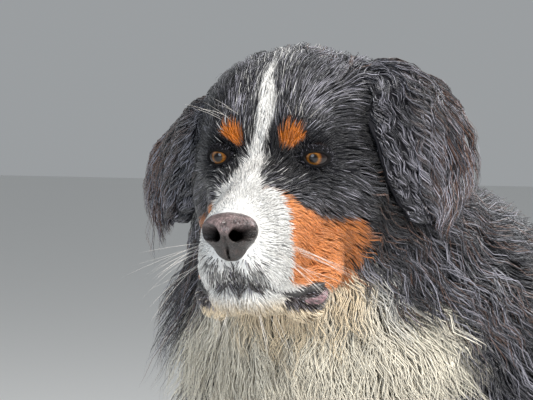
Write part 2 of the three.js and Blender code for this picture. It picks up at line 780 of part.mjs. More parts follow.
// One flat, tapered lock that follows the body and the lie of the coat, rises to the coat's full depth
// and bends to one side.
function lock({ root, length, width, thick, bend, stray = 0, depth, grow = 0 }) {
  let point = settle(wholeCore, root);
  let walked = 0;
  const heading = () => {
    const n = outward(wholeCore, point);
    const along = vector(coatAt(...point).lie).applyAxisAngle(n, stray);
    return { n, along: along.addScaledVector(n, -along.dot(n)).normalize() };
  };
  const rings = LOCK_STEPS.map((step, k) => {
    while (walked < step * length - 0.5) {
      const stride = Math.min(12, step * length - walked);
      const { along } = heading();
      point = settle(wholeCore, point.map((v, i) => v + along.getComponent(i) * stride));
      walked += stride;
    }
    const { n, along } = heading();
    const side = new THREE.Vector3().crossVectors(along, n).normalize();
    const height = k === 0 ? -LOCK_SUNK : LOCK_HEIGHTS[k] * depth - thick * 0.3;
    const middle = vector(point)
      .addScaledVector(n, height)
      .addScaledVector(side, bend * Math.sin(step * Math.PI * 0.85))
      .addScaledVector(along, LOCK_ENDS[k] * grow);
    const deep = (k === LAST_RING ? TIP_THICKNESS : 1) * (thick / 2);
    return lockRing({ middle, side, over: n }, (LOCK_WIDTHS[k] * width) / 2, deep, grow);
  });
  return solid(loft(rings));
}

// A lock drawn at a root with sizes that vary a little, sized by the coat there.
function drawnLock(root, random, { width = 34, thick = 10, reach = 1, depth = 1 } = {}) {
  const coat = coatAt(...root);
  return {
    root,
    length: coat.hair * reach * lerp(0.88, 1.12, random()),
    width: width * lerp(0.85, 1.15, random()),
    thick: thick * lerp(0.9, 1.15, random()),
    bend: lerp(-9, 9, random()),
    stray: lerp(-0.2, 0.2, random()),
    depth: (coat.depth - coreDepth(...root)) * depth * lerp(0.9, 1.12, random()),
  };
}

// Rows of locks round a path: each row is [share of the path, first turn, last turn, locks], in degrees.
function lockRows({ line, rows, seed, up = UP, size = {}, limit = 320 }) {
  const random = randomFrom(seed);
  const curve = path(line);
  return rows.flatMap(([t, first, last, count]) =>
    Array.from({ length: count }, (_, i) => {
      const share = count === 1 ? 0.5 : i / (count - 1);
      const turn = lerp(first, last, share) + lerp(-3, 3, random());
      const frame = frameOn(curve, clamp(t + lerp(-0.01, 0.01, random()), 0, 1), up);
      const ray = leave(frame, radians(turn), 90);
      const reach = rayHit(wholeCore, frame.point, ray, limit);
      return drawnLock(frame.point.addScaledVector(ray, reach).toArray(), random, size);
    }),
  );
}

// Trunk: the neck and the torso are one form, parted at the chest
const TRUNK_LINE = [
  NECK_TOP,
  [0, -318, 690],
  [0, -262, 606],
  [0, -170, 540],
  [0, -40, 516],
  [0, 110, 528],
  [0, 240, 536],
  [0, 300, 536],
];

// Legs and tail
const FORE_LINE = [
  [95, -262, 450],
  [102, -205, 385],
  [100, -200, 300],
  [97, -212, 190],
  CARPUS,
  FORE_PASTERN,
];
const HIND_LINE = [
  [84, 270, 470],
  [96, 240, 380],
  [98, 236, 322],
  [99, 290, 250],
  [98, 352, 196],
  [98, 366, 160],
  [96, 356, 110],
  HIND_PASTERN,
];
const FORE_CORE = insetCore(onLegs(foreFlesh));
const HIND_CORE = insetCore(onLegs(hindFlesh));
const TAIL_CORE = insetCore(tailFlesh);
const legSolid = (side, line, field, count, grow) =>
  skinRound({
    line: line.map((p) => standing(side, p)),
    stations: evenStations(count, [16, 50], [130, 164]),
    around: 11,
    field,
    limit: 150,
    up: FORWARD,
    grow,
  });

// Paws: four arched toes with claws, a heel pad and the body of the foot, flat where they bear on the floor
const TOES = [
  [-27, 10],
  [-10, 0],
  [10, 0],
  [27, 10],
]; // how far each toe stands to the side and back
const CLAW_LENGTH = 15;
const PAD_RADII = [25, 21, 16];
function toePath([aside, back]) {
  return [
    [aside * 0.6, 6 + back * 0.3, 35],
    [aside * 0.88, -17 + back, 29],
    [aside, -34 + back, 13.5],
    [aside, -42 + back, 12],
  ];
}
function paw(side, ankle, heel, scale) {
  const place = (line) =>
    line.map(([x, y, z]) => standing(side, [heel[0] + x * scale, heel[1] + y * scale, z * scale]));
  const toes = TOES.map((toe) =>
    sweep({
      line: place(toePath(toe)),
      radii: [12, 14, 14.5, 8].map((r) => r * scale),
      steps: 4,
      up: SIDEWAYS,
    }),
  );
  const claws = TOES.map(([aside, back]) =>
    sweep({
      line: place([
        [aside, -44 + back, 19],
        [aside, -44 - CLAW_LENGTH * 0.75 + back, 15],
        [aside, -44 - CLAW_LENGTH + back, 5],
      ]),
      radii: [5.2, 4, 1.4],
      sides: 3,
      up: SIDEWAYS,
    }),
  );
  const foot = sweep({
    line: [standing(side, ankle), ...place([[0, 6, 40], [0, -4, 22]])],
    radii: [36, 33 * scale, 27 * scale],
    sides: 8,
    steps: 4,
    up: FORWARD,
  });
  const heelPad = new THREE.SphereGeometry(1, 8, 5)
    .scale(...PAD_RADII.map((r) => r * scale))
    .translate(...place([[0, 2, 13]])[0]);
  return fuse([...toes, ...claws, foot, solid(heelPad)]).trimByPlane([0, 0, 1], 0);
}
const FORE_HEEL = [98, -256, 0];
const HIND_HEEL = [97, 332, 0];
const PAW_CUT = 74; // height at which a paw meets its leg
const FORE_ANKLE = [97, -234, 84];
const HIND_ANKLE = [96, 352, 84];
const FORE_PAW_SCALE = 1.1;
const HIND_PAW_SCALE = 1.02;
const belowAnkle = (foot) => foot.trimByPlane([0, 0, -1], -(PAW_CUT - GAP / 2));
const forePaw = (side) => belowAnkle(paw(side, FORE_ANKLE, FORE_HEEL, FORE_PAW_SCALE));
const hindPaw = (side) => belowAnkle(paw(side, HIND_ANKLE, HIND_HEEL, HIND_PAW_SCALE));

// The body's core: one flowing form, then parted into nodes at cuts and leg sockets
const headForm = (grow) =>
  skinRound({
    line: HEAD_LINE,
    stations: evenStations(16, [4, 22, 40, 60], [120]),
    around: 24,
    field: wholeCore,
    limit: 190,
    grow,
  });
const bodyForm = (grow) =>
  fuse([
    skinRound({
      line: TRUNK_LINE,
      stations: evenStations(17, [20, 50], [112, 140, 170]),
      around: 18,
      field: partCore(trunkFlesh),
      grow,
    }),
    skinRound({
      line: TAIL_LINE,
      stations: evenStations(9, [20, 55], [125, 165]),
      around: 8,
      field: TAIL_CORE,
      limit: 90,
      up: FORWARD,
      grow,
    }),
    ...Object.keys(SIDES).flatMap((side) => [
      legSolid(side, FORE_LINE, FORE_CORE, 9, grow),
      legSolid(side, HIND_LINE, HIND_CORE, 11, grow),
    ]),
  ]);

// Leg sockets: an egg round the top of the leg and a block round the rest of it
const SOCKETS = {
  front: {
    centre: [126, -240, 395],
    radii: [90, 106, 126],
    block: [[8, -380, -50], [220, -60, 325]],
  },
  hind: {
    centre: [128, 268, 385],
    radii: [102, 152, 132],
    block: [[8, 130, -50], [220, 419, 318]],
  },
};
const TAIL_CUT = 404; // Y at which the tail leaves the rump
function socket(end, side, grow) {
  const { centre, radii, block } = SOCKETS[end];
  const egg = new THREE.SphereGeometry(1, 16, 10)
    .scale(...radii.map((r) => r + grow))
    .translate(centre[0] * SIDES[side], centre[1], centre[2]);
  const size = block[1].map((v, i) => v - block[0][i] + grow * 2);
  const middle = block[1].map((v, i) => (v + block[0][i]) / 2);
  const box = new THREE.BoxGeometry(...size).translate(middle[0] * SIDES[side], middle[1], middle[2]);
  return fuse([solid(egg), solid(box)]);
}

// Keeps what lies beyond a cut on one side of it, drawn back by half of the gap or grown past that.
function beyond(made, { normal, through }, side, grow) {
  const offset = normal.reduce((sum, v, i) => sum + v * through[i], 0) * side;
  return made.trimByPlane(
    normal.map((v) => v * side),
    offset + GAP / 2 - grow,
  );
}
const tailCut = { normal: [0, 1, 0], through: [0, TAIL_CUT, 0] };
const ankleCut = { normal: [0, 0, 1], through: [0, 0, PAW_CUT] };
const LEGS = ["front", "hind"].flatMap((end) => Object.keys(SIDES).map((side) => [end, side]));
function partBody(made, headMade, grow) {
  const sockets = LEGS.map(([end, side]) => socket(end, side, GAP / 2 - grow));
  const legless = without(beyond(made, NECK_CUT, 1, grow), sockets);
  const legs = LEGS.map(([end, side]) => [
    `leg_${end}_${side}`,
    beyond(made.intersect(socket(end, side, grow - GAP / 2)), ankleCut, 1, grow),
  ]);
  return {
    head: beyond(headMade, NECK_CUT, -1, grow),
    neck: beyond(legless, CHEST_CUT, -1, grow),
    torso: beyond(beyond(legless, CHEST_CUT, 1, grow), tailCut, -1, grow),
    tail: beyond(legless, tailCut, 1, grow),
    ...Object.fromEntries(legs),
  };
}

// Which node a root on the body belongs to
const aheadOf = ({ normal, through }, p) =>
  normal.reduce((sum, v, i) => sum + v * (p[i] - through[i]), 0) < 0;
function ownerOf([x, y, z]) {
  const side = x > 0 ? "left" : "right";
  for (const [end, { centre, radii, block }] of Object.entries(SOCKETS)) {
    const off = [Math.abs(x) - centre[0], y - centre[1], z - centre[2]];
    const inEgg = off.reduce((sum, v, i) => sum + (v / radii[i]) ** 2, 0) < 1;
    const inBlock = [Math.abs(x), y, z].every((v, i) => v > block[0][i] && v < block[1][i]);
    if (inEgg || inBlock) return `leg_${end}_${side}`;
  }
  if (aheadOf(NECK_CUT, [x, y, z])) return "head";
  if (aheadOf(CHEST_CUT, [x, y, z])) return "neck";
  return y > TAIL_CUT ? "tail" : "torso";
}

// Where the locks grow
const NECK_ROWS = [
  [0.03, 62, 298, 6],
  [0.1, 0, 310, 7],
  [0.17, 28, 332, 7],
];
const TORSO_ROWS = [
  [0.26, 62, 298, 6],
  [0.37, 0, 300, 6],
  [0.49, 30, 330, 6],
  [0.61, 0, 300, 6],
  [0.73, 30, 330, 6],
  [0.84, 0, 288, 5],
];
const BREECH_ROWS = [
  [0.02, 140, 220, 3],
  [0.14, 150, 210, 3],
  [0.27, 150, 210, 2],
];
const FORE_ROWS = [
  [0.18, 158, 202, 2],
  [0.38, 172, 188, 2],
];
const TAIL_ROWS = [
  [0.14, 60, 300, 3],
  [0.32, 0, 240, 3],
  [0.5, 60, 300, 3],
  [0.67, 0, 240, 3],
  [0.82, 60, 180, 2],
];
const CHEEK_ROOTS = [
  [72, 62, -22],
  [74, 80, -48],
];
const cheekRandom = randomFrom(71);
const LOCKS = [
  ...lockRows({
    line: TRUNK_LINE,
    rows: NECK_ROWS,
    seed: 11,
    size: { width: 58, thick: 11, reach: 1.15 },
  }).filter((one) => ownerOf(one.root) !== "head"),
  ...lockRows({
    line: TRUNK_LINE,
    rows: TORSO_ROWS,
    seed: 13,
    size: { width: 72, thick: 11, reach: 1.6 },
  }),
  ...Object.keys(SIDES).flatMap((side, i) => [
    ...lockRows({
      line: HIND_LINE.map((p) => standing(side, p)),
      rows: BREECH_ROWS,
      seed: 23 + i,
      up: FORWARD,
      limit: 150,
      size: { width: 56, reach: 1.2, depth: 1.4 },
    }),
    ...lockRows({
      line: FORE_LINE.map((p) => standing(side, p)),
      rows: FORE_ROWS,
      seed: 37 + i,
      up: FORWARD,
      limit: 150,
      size: { width: 28, thick: 9, reach: 1.1 },
    }),
    ...CHEEK_ROOTS.map(([x, y, z]) =>
      drawnLock(toBody([x * SIDES[side], y, z]), cheekRandom, { width: 28, thick: 9 }),
    ),
  ]),
  ...lockRows({
    line: TAIL_LINE,
    rows: TAIL_ROWS,
    seed: 53,
    up: FORWARD,
    limit: 90,
    size: { width: 46, reach: 1.25, depth: 1.25 },
  }),
].filter((one) => one.depth > LEAST_RISE);

// Assembly: a node with locks is cut clear of the rest of the body and of the locks that lie over its own.
const material = (name, color, roughness = 0.8) =>
  new THREE.MeshStandardMaterial({ name, color, roughness, metalness: 0 });
const MATERIALS = {
  black: material("black_coat", 0x17161a),
  white: material("white_coat", 0xe8e2d8),
  rust: material("rust_coat", 0xa4541f),
  nose: material("nose_leather", 0x241f20, 0.35),
  eye: material("eye", 0x6a3a10, 0.08),
};

const dog = new THREE.Group();
dog.name = "bernese_mountain_dog";
dog.position.set(...CENTRING);

function addNode(name, made, look) {
  const geometry = largestSurface(made);
  geometry.computeVertexNormals();
  const mesh = new THREE.Mesh(geometry, look);
  mesh.name = name;
  dog.add(mesh);
}

const CORE_GROW = 0.5; // the cutting copy of a smooth form stands this far over the form
const LOCK_GROW = 0.65; // the same for ears and locks
const bothSides = (build) => Object.keys(SIDES).map(build);
const cores = partBody(bodyForm(0), headForm(0), 0);
const grownCores = partBody(bodyForm(CORE_GROW), headForm(CORE_GROW), GAP);
const grownEars = bothSides((side) => ear(side, LOCK_GROW));
const locksOf = (name, grow) =>
  LOCKS.filter((one) => ownerOf(one.root) === name).map((one) => lock({ ...one, grow }));

// Nodes whose locks lie over each other, from the uppermost down
const LAYERS = ["head", "neck", "torso", "tail", ...LEGS.map(([end, side]) => `leg_${end}_${side}`)];
const LOOKS = { head: "black", neck: "white", torso: "black", tail: "black" };
const overlying = [...grownEars, nosePad(CORE_GROW)];
for (const name of LAYERS) {
  const others = LAYERS.filter((other) => other !== name).map((other) => grownCores[other]);
  const locks = without(fuse(locksOf(name, 0)), others);
  const pieces = [cores[name], locks];
  const cutters = [...overlying];
  if (name === "head") {
    pieces.push(...bothSides(lids), upperLip(), ...bothSides(lowerLip));
    cutters.push(mouthSlit(), ...bothSides((side) => fuse([eyeball(side, 0.4), lidSlit(side)])));
  }
  addNode(name, without(fuse(pieces), cutters), MATERIALS[LOOKS[name] ?? "rust"]);
  overlying.push(...locksOf(name, LOCK_GROW));
}
addNode("nose", without(nosePad(), [...bothSides(nostril), philtrum()]), MATERIALS.nose);
for (const side of Object.keys(SIDES)) {
  addNode(`eye_${side}`, eyeball(side), MATERIALS.eye);
  addNode(`ear_${side}`, ear(side), MATERIALS.black);
  addNode(`paw_front_${side}`, without(forePaw(side), overlying), MATERIALS.white);
  addNode(`paw_hind_${side}`, without(hindPaw(side), overlying), MATERIALS.white);
}

export default dog;
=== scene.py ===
"""A Bernese mountain dog, life size: skin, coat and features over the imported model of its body.

Sizes are in millimetres in the dog's modelled frame: it faces -Y, its left is +X, up is +Z and the floor is
z = 0. Sizes of the head's details are in the head's own frame, with its origin between the eyes. Meshes are
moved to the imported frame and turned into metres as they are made.
"""

import logging
import math
from dataclasses import dataclass, field
from enum import Enum, IntEnum
from typing import Callable, Iterable, Sequence

import bmesh
import bpy
import numpy as np
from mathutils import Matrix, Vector


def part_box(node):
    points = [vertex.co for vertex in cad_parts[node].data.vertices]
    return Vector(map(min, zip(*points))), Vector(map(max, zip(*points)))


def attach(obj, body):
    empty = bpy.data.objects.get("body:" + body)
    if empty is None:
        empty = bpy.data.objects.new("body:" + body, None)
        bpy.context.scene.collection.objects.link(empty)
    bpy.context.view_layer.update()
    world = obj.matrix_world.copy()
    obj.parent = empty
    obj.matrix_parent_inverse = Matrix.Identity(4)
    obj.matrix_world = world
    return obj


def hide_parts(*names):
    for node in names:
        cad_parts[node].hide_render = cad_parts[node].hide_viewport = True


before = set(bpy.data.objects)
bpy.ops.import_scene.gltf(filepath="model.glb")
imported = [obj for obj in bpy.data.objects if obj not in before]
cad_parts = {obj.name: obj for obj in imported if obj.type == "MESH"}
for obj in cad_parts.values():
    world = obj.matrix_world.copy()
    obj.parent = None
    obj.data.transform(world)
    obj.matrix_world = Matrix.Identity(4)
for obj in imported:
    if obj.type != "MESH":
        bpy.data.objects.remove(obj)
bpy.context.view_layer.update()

log = logging.getLogger("dog")

Array = np.ndarray
Vec = tuple[float, float, float]
UP: Vec = (0.0, 0.0, 1.0)
FORWARD: Vec = (0.0, -1.0, 0.0)
METRE = 0.001
IMAGE_WIDTH = 533
PHOTO_FOCAL_PIXELS = 3100.0
FULL_TURN = 2 * math.pi


class Side(Enum):
    """The dog's own left and right, as the sign of X."""

    LEFT = 1
    RIGHT = -1

    @property
    def word(self) -> str:
        """The side's name in piece names."""
        return self.name.lower()


def smoothstep(value: Array, low: float, high: float) -> Array:
    """A share from 0 at low to 1 at high, level at both ends: t squared times (3 - 2t)."""
    t = np.clip((value - low) / (high - low), 0.0, 1.0)
    return t * t * (3.0 - 2.0 * t)


def mix(a: Array, b: Array, share: Array) -> Array:
    """The value that lies a share of the way from a to b."""
    return a + (b - a) * share


def unit(v: Array) -> Array:
    """Vectors scaled to length 1."""
    return v / np.maximum(np.linalg.norm(v, axis=-1, keepdims=True), 1e-9)


def folded(p: Array) -> Array:
    """Points with those on the right mirrored to the left."""
    return np.concatenate([np.abs(p[:, :1]), p[:, 1:]], axis=1)


def melt(a: Array, b: Array, soft: float) -> Array:
    """A smooth minimum: the lesser distance, less up to a quarter of soft where the two are alike."""
    near = np.maximum(soft - np.abs(a - b), 0.0) / soft
    return np.minimum(a, b) - near * near * soft / 4.0


@dataclass(frozen=True)
class Lobe:
    """A rounded mass: an ellipsoid, tilted about X and turned about Z by degrees."""

    centre: Vec
    radii: Vec
    tilt: float = 0.0
    turn: float = 0.0

    def distance(self, p: Array) -> Array:
        """How far points are outside: with a = |q/r| and b = |q/r²|, it is a(a - 1)/b."""
        d = p - np.array(self.centre)
        turn, tilt = math.radians(self.turn), math.radians(self.tilt)
        x = d[:, 0] * math.cos(turn) + d[:, 1] * math.sin(turn)
        y = -d[:, 0] * math.sin(turn) + d[:, 1] * math.cos(turn)
        q = np.stack(
            [
                x,
                y * math.cos(tilt) + d[:, 2] * math.sin(tilt),
                -y * math.sin(tilt) + d[:, 2] * math.cos(tilt),
            ],
            axis=1,
        )
        r = np.array(self.radii)
        a = np.linalg.norm(q / r, axis=1)
        b = np.linalg.norm(q / r**2, axis=1)
        return a * (a - 1.0) / np.maximum(b, 1e-9)

    def reach(self) -> tuple[Array, Array]:
        """The corners of a box that holds it."""
        centre, most = np.array(self.centre), max(self.radii)
        return centre - most, centre + most


@dataclass(frozen=True)
class Limb:
    """A tapered round bar between two joints; flat narrows it across X."""

    start: Vec
    end: Vec
    start_radius: float
    end_radius: float
    flat: float = 1.0

    def distance(self, p: Array) -> Array:
        """How far points are outside: their distance from the axis, less the radius there."""
        axis = np.array(self.end) - np.array(self.start)
        off = p - np.array(self.start)
        t = np.clip(off @ axis / (axis @ axis), 0.0, 1.0)
        away = off - t[:, None] * axis
        away[:, 0] /= self.flat
        return np.linalg.norm(away, axis=1) - mix(self.start_radius, self.end_radius, t)

    def reach(self) -> tuple[Array, Array]:
        """The corners of a box that holds it."""
        ends = np.array([self.start, self.end])
        most = max(self.start_radius, self.end_radius)
        return ends.min(axis=0) - most, ends.max(axis=0) + most


Shape = Lobe | Limb
FAR = 500.0
NEAR_MARGIN = 95.0


@dataclass(frozen=True)
class Group:
    """Masses that flow into each other; paired ones are on both sides, carved ones are cut out of both."""

    soft: float
    single: tuple[Shape, ...] = ()
    paired: tuple[Shape, ...] = ()
    carved: tuple[tuple[Shape, float], ...] = ()

    def distance(self, p: Array) -> Array:
        """How far points are outside the whole group, or FAR where they are nowhere near it."""
        mirrored = folded(p)
        boxes = [shape.reach() for shape in self.single + self.paired]
        low = np.min([box[0] for box in boxes], axis=0) - NEAR_MARGIN
        high = np.max([box[1] for box in boxes], axis=0) + NEAR_MARGIN
        near = np.all((mirrored > low) & (mirrored < high), axis=1)
        out = np.full(len(p), FAR)
        here, pair = p[near], mirrored[near]
        d = np.full(len(here), FAR)
        for shape in self.single:
            d = melt(d, shape.distance(here), self.soft)
        for shape in self.paired:
            d = melt(d, shape.distance(pair), self.soft)
        for shape, soft in self.carved:
            d = -melt(-d, shape.distance(pair), soft)
        out[near] = d
        return out


@dataclass(frozen=True)
class HeadFrame:
    """Where the head is: the point between the eyes, its turn to the dog's left and its nod."""

    eye_level: Vec = (9.0, -480.0, 756.0)
    turn: float = 7.5
    nod: float = 10.0

    @property
    def rotation(self) -> Array:
        """The turn about Z after the nod about X, as a 3 by 3 matrix."""
        t, n = math.radians(self.turn), math.radians(self.nod)
        about_z = np.array([[math.cos(t), -math.sin(t), 0], [math.sin(t), math.cos(t), 0], [0, 0, 1]])
        about_x = np.array([[1, 0, 0], [0, math.cos(n), -math.sin(n)], [0, math.sin(n), math.cos(n)]])
        return about_z @ about_x

    def to_body(self, p: Array | Sequence) -> Array:
        """Points of the head's frame in the body's."""
        return np.asarray(p, float) @ self.rotation.T + np.array(self.eye_level)

    def to_head(self, p: Array | Sequence) -> Array:
        """Points of the body's frame in the head's."""
        return (np.asarray(p, float) - np.array(self.eye_level)) @ self.rotation

    def turned(self, v: Array | Sequence) -> Array:
        """Directions of the head's frame in the body's."""
        return np.asarray(v, float) @ self.rotation.T


HEAD = HeadFrame()


def from_head(*point: float) -> Vec:
    """One point of the head's frame in the body's."""
    return tuple(HEAD.to_body([point])[0])


ELBOW: Vec = (103.0, -188.0, 372.0)
FOREARM: Vec = (99.0, -206.0, 262.0)
CARPUS: Vec = (97.0, -216.0, 158.0)
FORE_PASTERN: Vec = (97.0, -236.0, 62.0)
STIFLE: Vec = (98.0, 196.0, 345.0)
GASKIN: Vec = (99.0, 286.0, 250.0)
HOCK: Vec = (98.0, 364.0, 182.0)
HIND_PASTERN: Vec = (96.0, 352.0, 66.0)
TAIL_LINE: tuple[Vec, ...] = (
    (0.0, 352.0, 604.0),
    (0.0, 412.0, 582.0),
    (0.0, 452.0, 505.0),
    (0.0, 466.0, 410.0),
    (0.0, 464.0, 320.0),
    (0.0, 454.0, 245.0),
    (0.0, 442.0, 190.0),
)
TAIL_RADII = (38.0, 34.0, 30.0, 26.0, 22.0, 17.0, 10.0)
NECK_TOP = from_head(0, 102, -30)

NECK = Group(
    60,
    (
        Limb((0, -205, 575), NECK_TOP, 122, 80, 0.98),
        Limb((0, -270, 545), from_head(0, 66, -58), 90, 42, 0.9),
    ),
)
TORSO = Group(
    46,
    (
        Lobe((0, -70, 500), (118, 240, 147)),
        Lobe((0, -245, 492), (94, 106, 124)),
        Lobe((0, -180, 588), (44, 130, 84)),
        Lobe((0, 130, 536), (96, 205, 106)),
        Lobe((0, 268, 540), (94, 120, 103)),
    ),
    (Lobe((88, -222, 512), (48, 84, 150), tilt=-18), Lobe((78, 262, 462), (56, 112, 138))),
)
FORE_LEG = Group(
    22,
    (),
    (
        Limb((92, -286, 462), ELBOW, 58, 48),
        Limb(ELBOW, FOREARM, 47, 36),
        Limb(FOREARM, CARPUS, 36, 29),
        Limb(CARPUS, FORE_PASTERN, 29, 27),
        Limb((103, -160, 372), (101, -170, 342), 30, 22),
    ),
)
HIND_LEG = Group(
    24,
    (),
    (
        Limb((80, 262, 480), (97, 214, 362), 88, 62, 0.74),
        Limb((86, 330, 470), (98, 280, 330), 58, 36, 0.8),
        Limb(STIFLE, GASKIN, 52, 40, 0.85),
        Limb(GASKIN, HOCK, 38, 25, 0.9),
        Limb(HOCK, HIND_PASTERN, 26, 25),
        Limb((98, 388, 196), (98, 380, 170), 15, 16),
    ),
)
TAIL = Group(
    16,
    tuple(
        Limb(a, b, ra, rb)
        for a, b, ra, rb in zip(TAIL_LINE, TAIL_LINE[1:], TAIL_RADII, TAIL_RADII[1:])
    ),
)
SKULL = Group(
    14,
    (
        Limb((0, 4, -17), (0, -86, -31), 19.5, 15.5),
        Limb((0, -66, -90), (0, 44, -76), 14, 21),
        Lobe((0, 60, -64), (42, 52, 34)),
        Lobe((0, 72, 13), (50, 67, 53)),
        Lobe((52, 84, 36), (14, 24, 18)),
        Lobe((60, 72, 44), (11, 15, 17)),
        Lobe((-52, 87, 22), (14, 24, 18)),
    ),
    (
        Lobe((21, 66, 11), (41, 62, 50)),
        Lobe((14, 31, 15), (24, 26, 29)),
        Lobe((31, 15, 23), (16, 13, 9)),
        Lobe((40, 38, -14), (21, 42, 20)),
        Lobe((38, 56, -44), (24, 42, 36)),
        Lobe((29, 0, -30), (16, 30, 17)),
        Limb((13, 4, -46), (9, -78, -46), 28, 21),
        Lobe((20, -42, -73), (15, 46, 23), turn=8),
        Lobe((11, -85, -62), (14, 18, 17)),
        Lobe((9, -70, -95), (12, 19, 13)),
        Limb((16, -62, -97), (37, -36, -105), 12, 11),
        Limb((37, -36, -105), (45, -4, -95), 11, 9.5),
        Lobe((39, 4, -78), (12, 22, 16)),
    ),
    ((Lobe((44, -8, 0), (17, 12, 11)), 10.0),),
)


@dataclass(frozen=True)
class Station:
    """What the coat is like near one place: its depth over the skin, its hair length and the way it lies."""

    at: Vec
    reach: float
    depth: float
    hair: float
    lie: Vec


BODY_COAT = (
    Station((0, -335, 800), 60, 26, 60, (0.0, 0.8, -0.6)),
    Station((88, -325, 705), 60, 38, 90, (0.12, 0.5, -0.85)),
    Station((0, -420, 672), 55, 32, 85, (0.0, 0.2, -1.0)),
    Station((0, -382, 575), 60, 44, 110, (0.0, 0.05, -1.0)),
    Station((98, -325, 600), 60, 38, 100, (0.15, 0.35, -0.95)),
    Station((0, -352, 470), 60, 42, 105, (0.0, 0.2, -1.0)),
    Station((0, -200, 368), 70, 36, 85, (0.0, 0.7, -0.5)),
    Station((0, -185, 672), 70, 24, 65, (0.0, 1.0, -0.1)),
    Station((132, -235, 520), 70, 24, 65, (0.05, 0.6, -0.8)),
    Station((0, 0, 648), 80, 22, 60, (0.0, 1.0, -0.05)),
    Station((124, -40, 510), 80, 26, 70, (0.0, 0.9, -0.5)),
    Station((0, 80, 390), 80, 34, 80, (0.0, 0.8, -0.5)),
    Station((92, -60, 400), 70, 32, 85, (0.0, 0.7, -0.75)),
    Station((0, 150, 645), 80, 22, 60, (0.0, 1.0, -0.05)),
    Station((96, 150, 490), 70, 26, 75, (0.0, 0.8, -0.65)),
    Station((0, 305, 635), 70, 25, 65, (0.0, 1.0, -0.35)),
    Station((118, 280, 520), 60, 24, 65, (0.05, 0.6, -0.85)),
    Station((136, 235, 410), 60, 20, 55, (0.0, 0.45, -0.9)),
    Station((85, 388, 455), 55, 40, 110, (0.05, 0.4, -1.0)),
    Station((98, 332, 335), 50, 32, 85, (0.0, 0.35, -1.0)),
    Station((124, -220, 400), 45, 20, 50, (0.0, 0.5, -0.9)),
    Station((100, -255, 270), 38, 8, 24, (0.0, 0.1, -1.0)),
    Station((102, -140, 355), 38, 32, 80, (0.0, 0.6, -0.8)),
    Station((100, -165, 255), 34, 24, 65, (0.0, 0.5, -1.0)),
    Station((98, -215, 150), 38, 8, 22, (0.0, 0.15, -1.0)),
    Station((98, -236, 75), 38, 7, 20, (0.0, -0.1, -1.0)),
    Station((98, -262, 34), 38, 6, 16, (0.0, -0.7, -0.7)),
    Station((100, 225, 290), 40, 10, 28, (0.0, 0.6, -0.9)),
    Station((100, 320, 262), 36, 22, 58, (0.0, 0.4, -1.0)),
    Station((98, 388, 188), 36, 10, 30, (0.0, 0.2, -1.0)),
    Station((98, 350, 110), 38, 7, 22, (0.0, 0.1, -1.0)),
    Station((97, 326, 32), 38, 6, 16, (0.0, -0.7, -0.7)),
    Station((0, 400, 610), 40, 26, 75, (0.0, 1.0, -0.5)),
    Station((0, 455, 520), 45, 36, 100, (0.0, 0.5, -1.0)),
    Station((0, 480, 400), 50, 40, 110, (0.0, 0.15, -1.0)),
    Station((0, 470, 290), 50, 34, 100, (0.0, -0.05, -1.0)),
    Station((0, 448, 200), 45, 20, 70, (0.0, -0.1, -1.0)),
)
HEAD_COAT = (
    Station((0, -70, -12), 26, 2.5, 9, (0.0, 1.0, 0.05)),
    Station((42, -52, -50), 28, 3, 11, (0.1, 0.85, -0.35)),
    Station((30, -62, -96), 24, 3.5, 12, (0.1, 0.5, -0.8)),
    Station((0, -84, -106), 24, 4, 12, (0.0, 0.6, -0.8)),
    Station((0, -30, -106), 30, 9, 26, (0.0, 1.0, -0.35)),
    Station((0, -6, 8), 22, 3, 9, (0.0, 0.7, 0.7)),
    Station((34, -4, 30), 20, 3.5, 12, (0.25, 0.7, 0.6)),
    Station((0, 22, 52), 30, 6, 16, (0.15, 0.85, 0.5)),
    Station((0, 76, 68), 36, 10, 26, (0.15, 1.0, 0.0)),
    Station((64, 58, 30), 34, 9, 22, (0.3, 1.0, -0.05)),
    Station((60, 20, 2), 26, 4.5, 14, (0.25, 1.0, -0.1)),
    Station((42, -10, -26), 24, 3, 10, (0.35, 0.85, -0.35)),
    Station((70, 40, -42), 30, 9, 25, (0.2, 0.9, -0.4)),
    Station((60, 24, -86), 28, 11, 32, (0.15, 0.75, -0.6)),
    Station((74, 86, -56), 34, 20, 52, (0.1, 0.75, -0.7)),
    Station((0, 128, 46), 40, 16, 44, (0.1, 0.9, -0.5)),
    Station((0, 40, -106), 36, 20, 55, (0.0, 0.7, -0.7)),
)


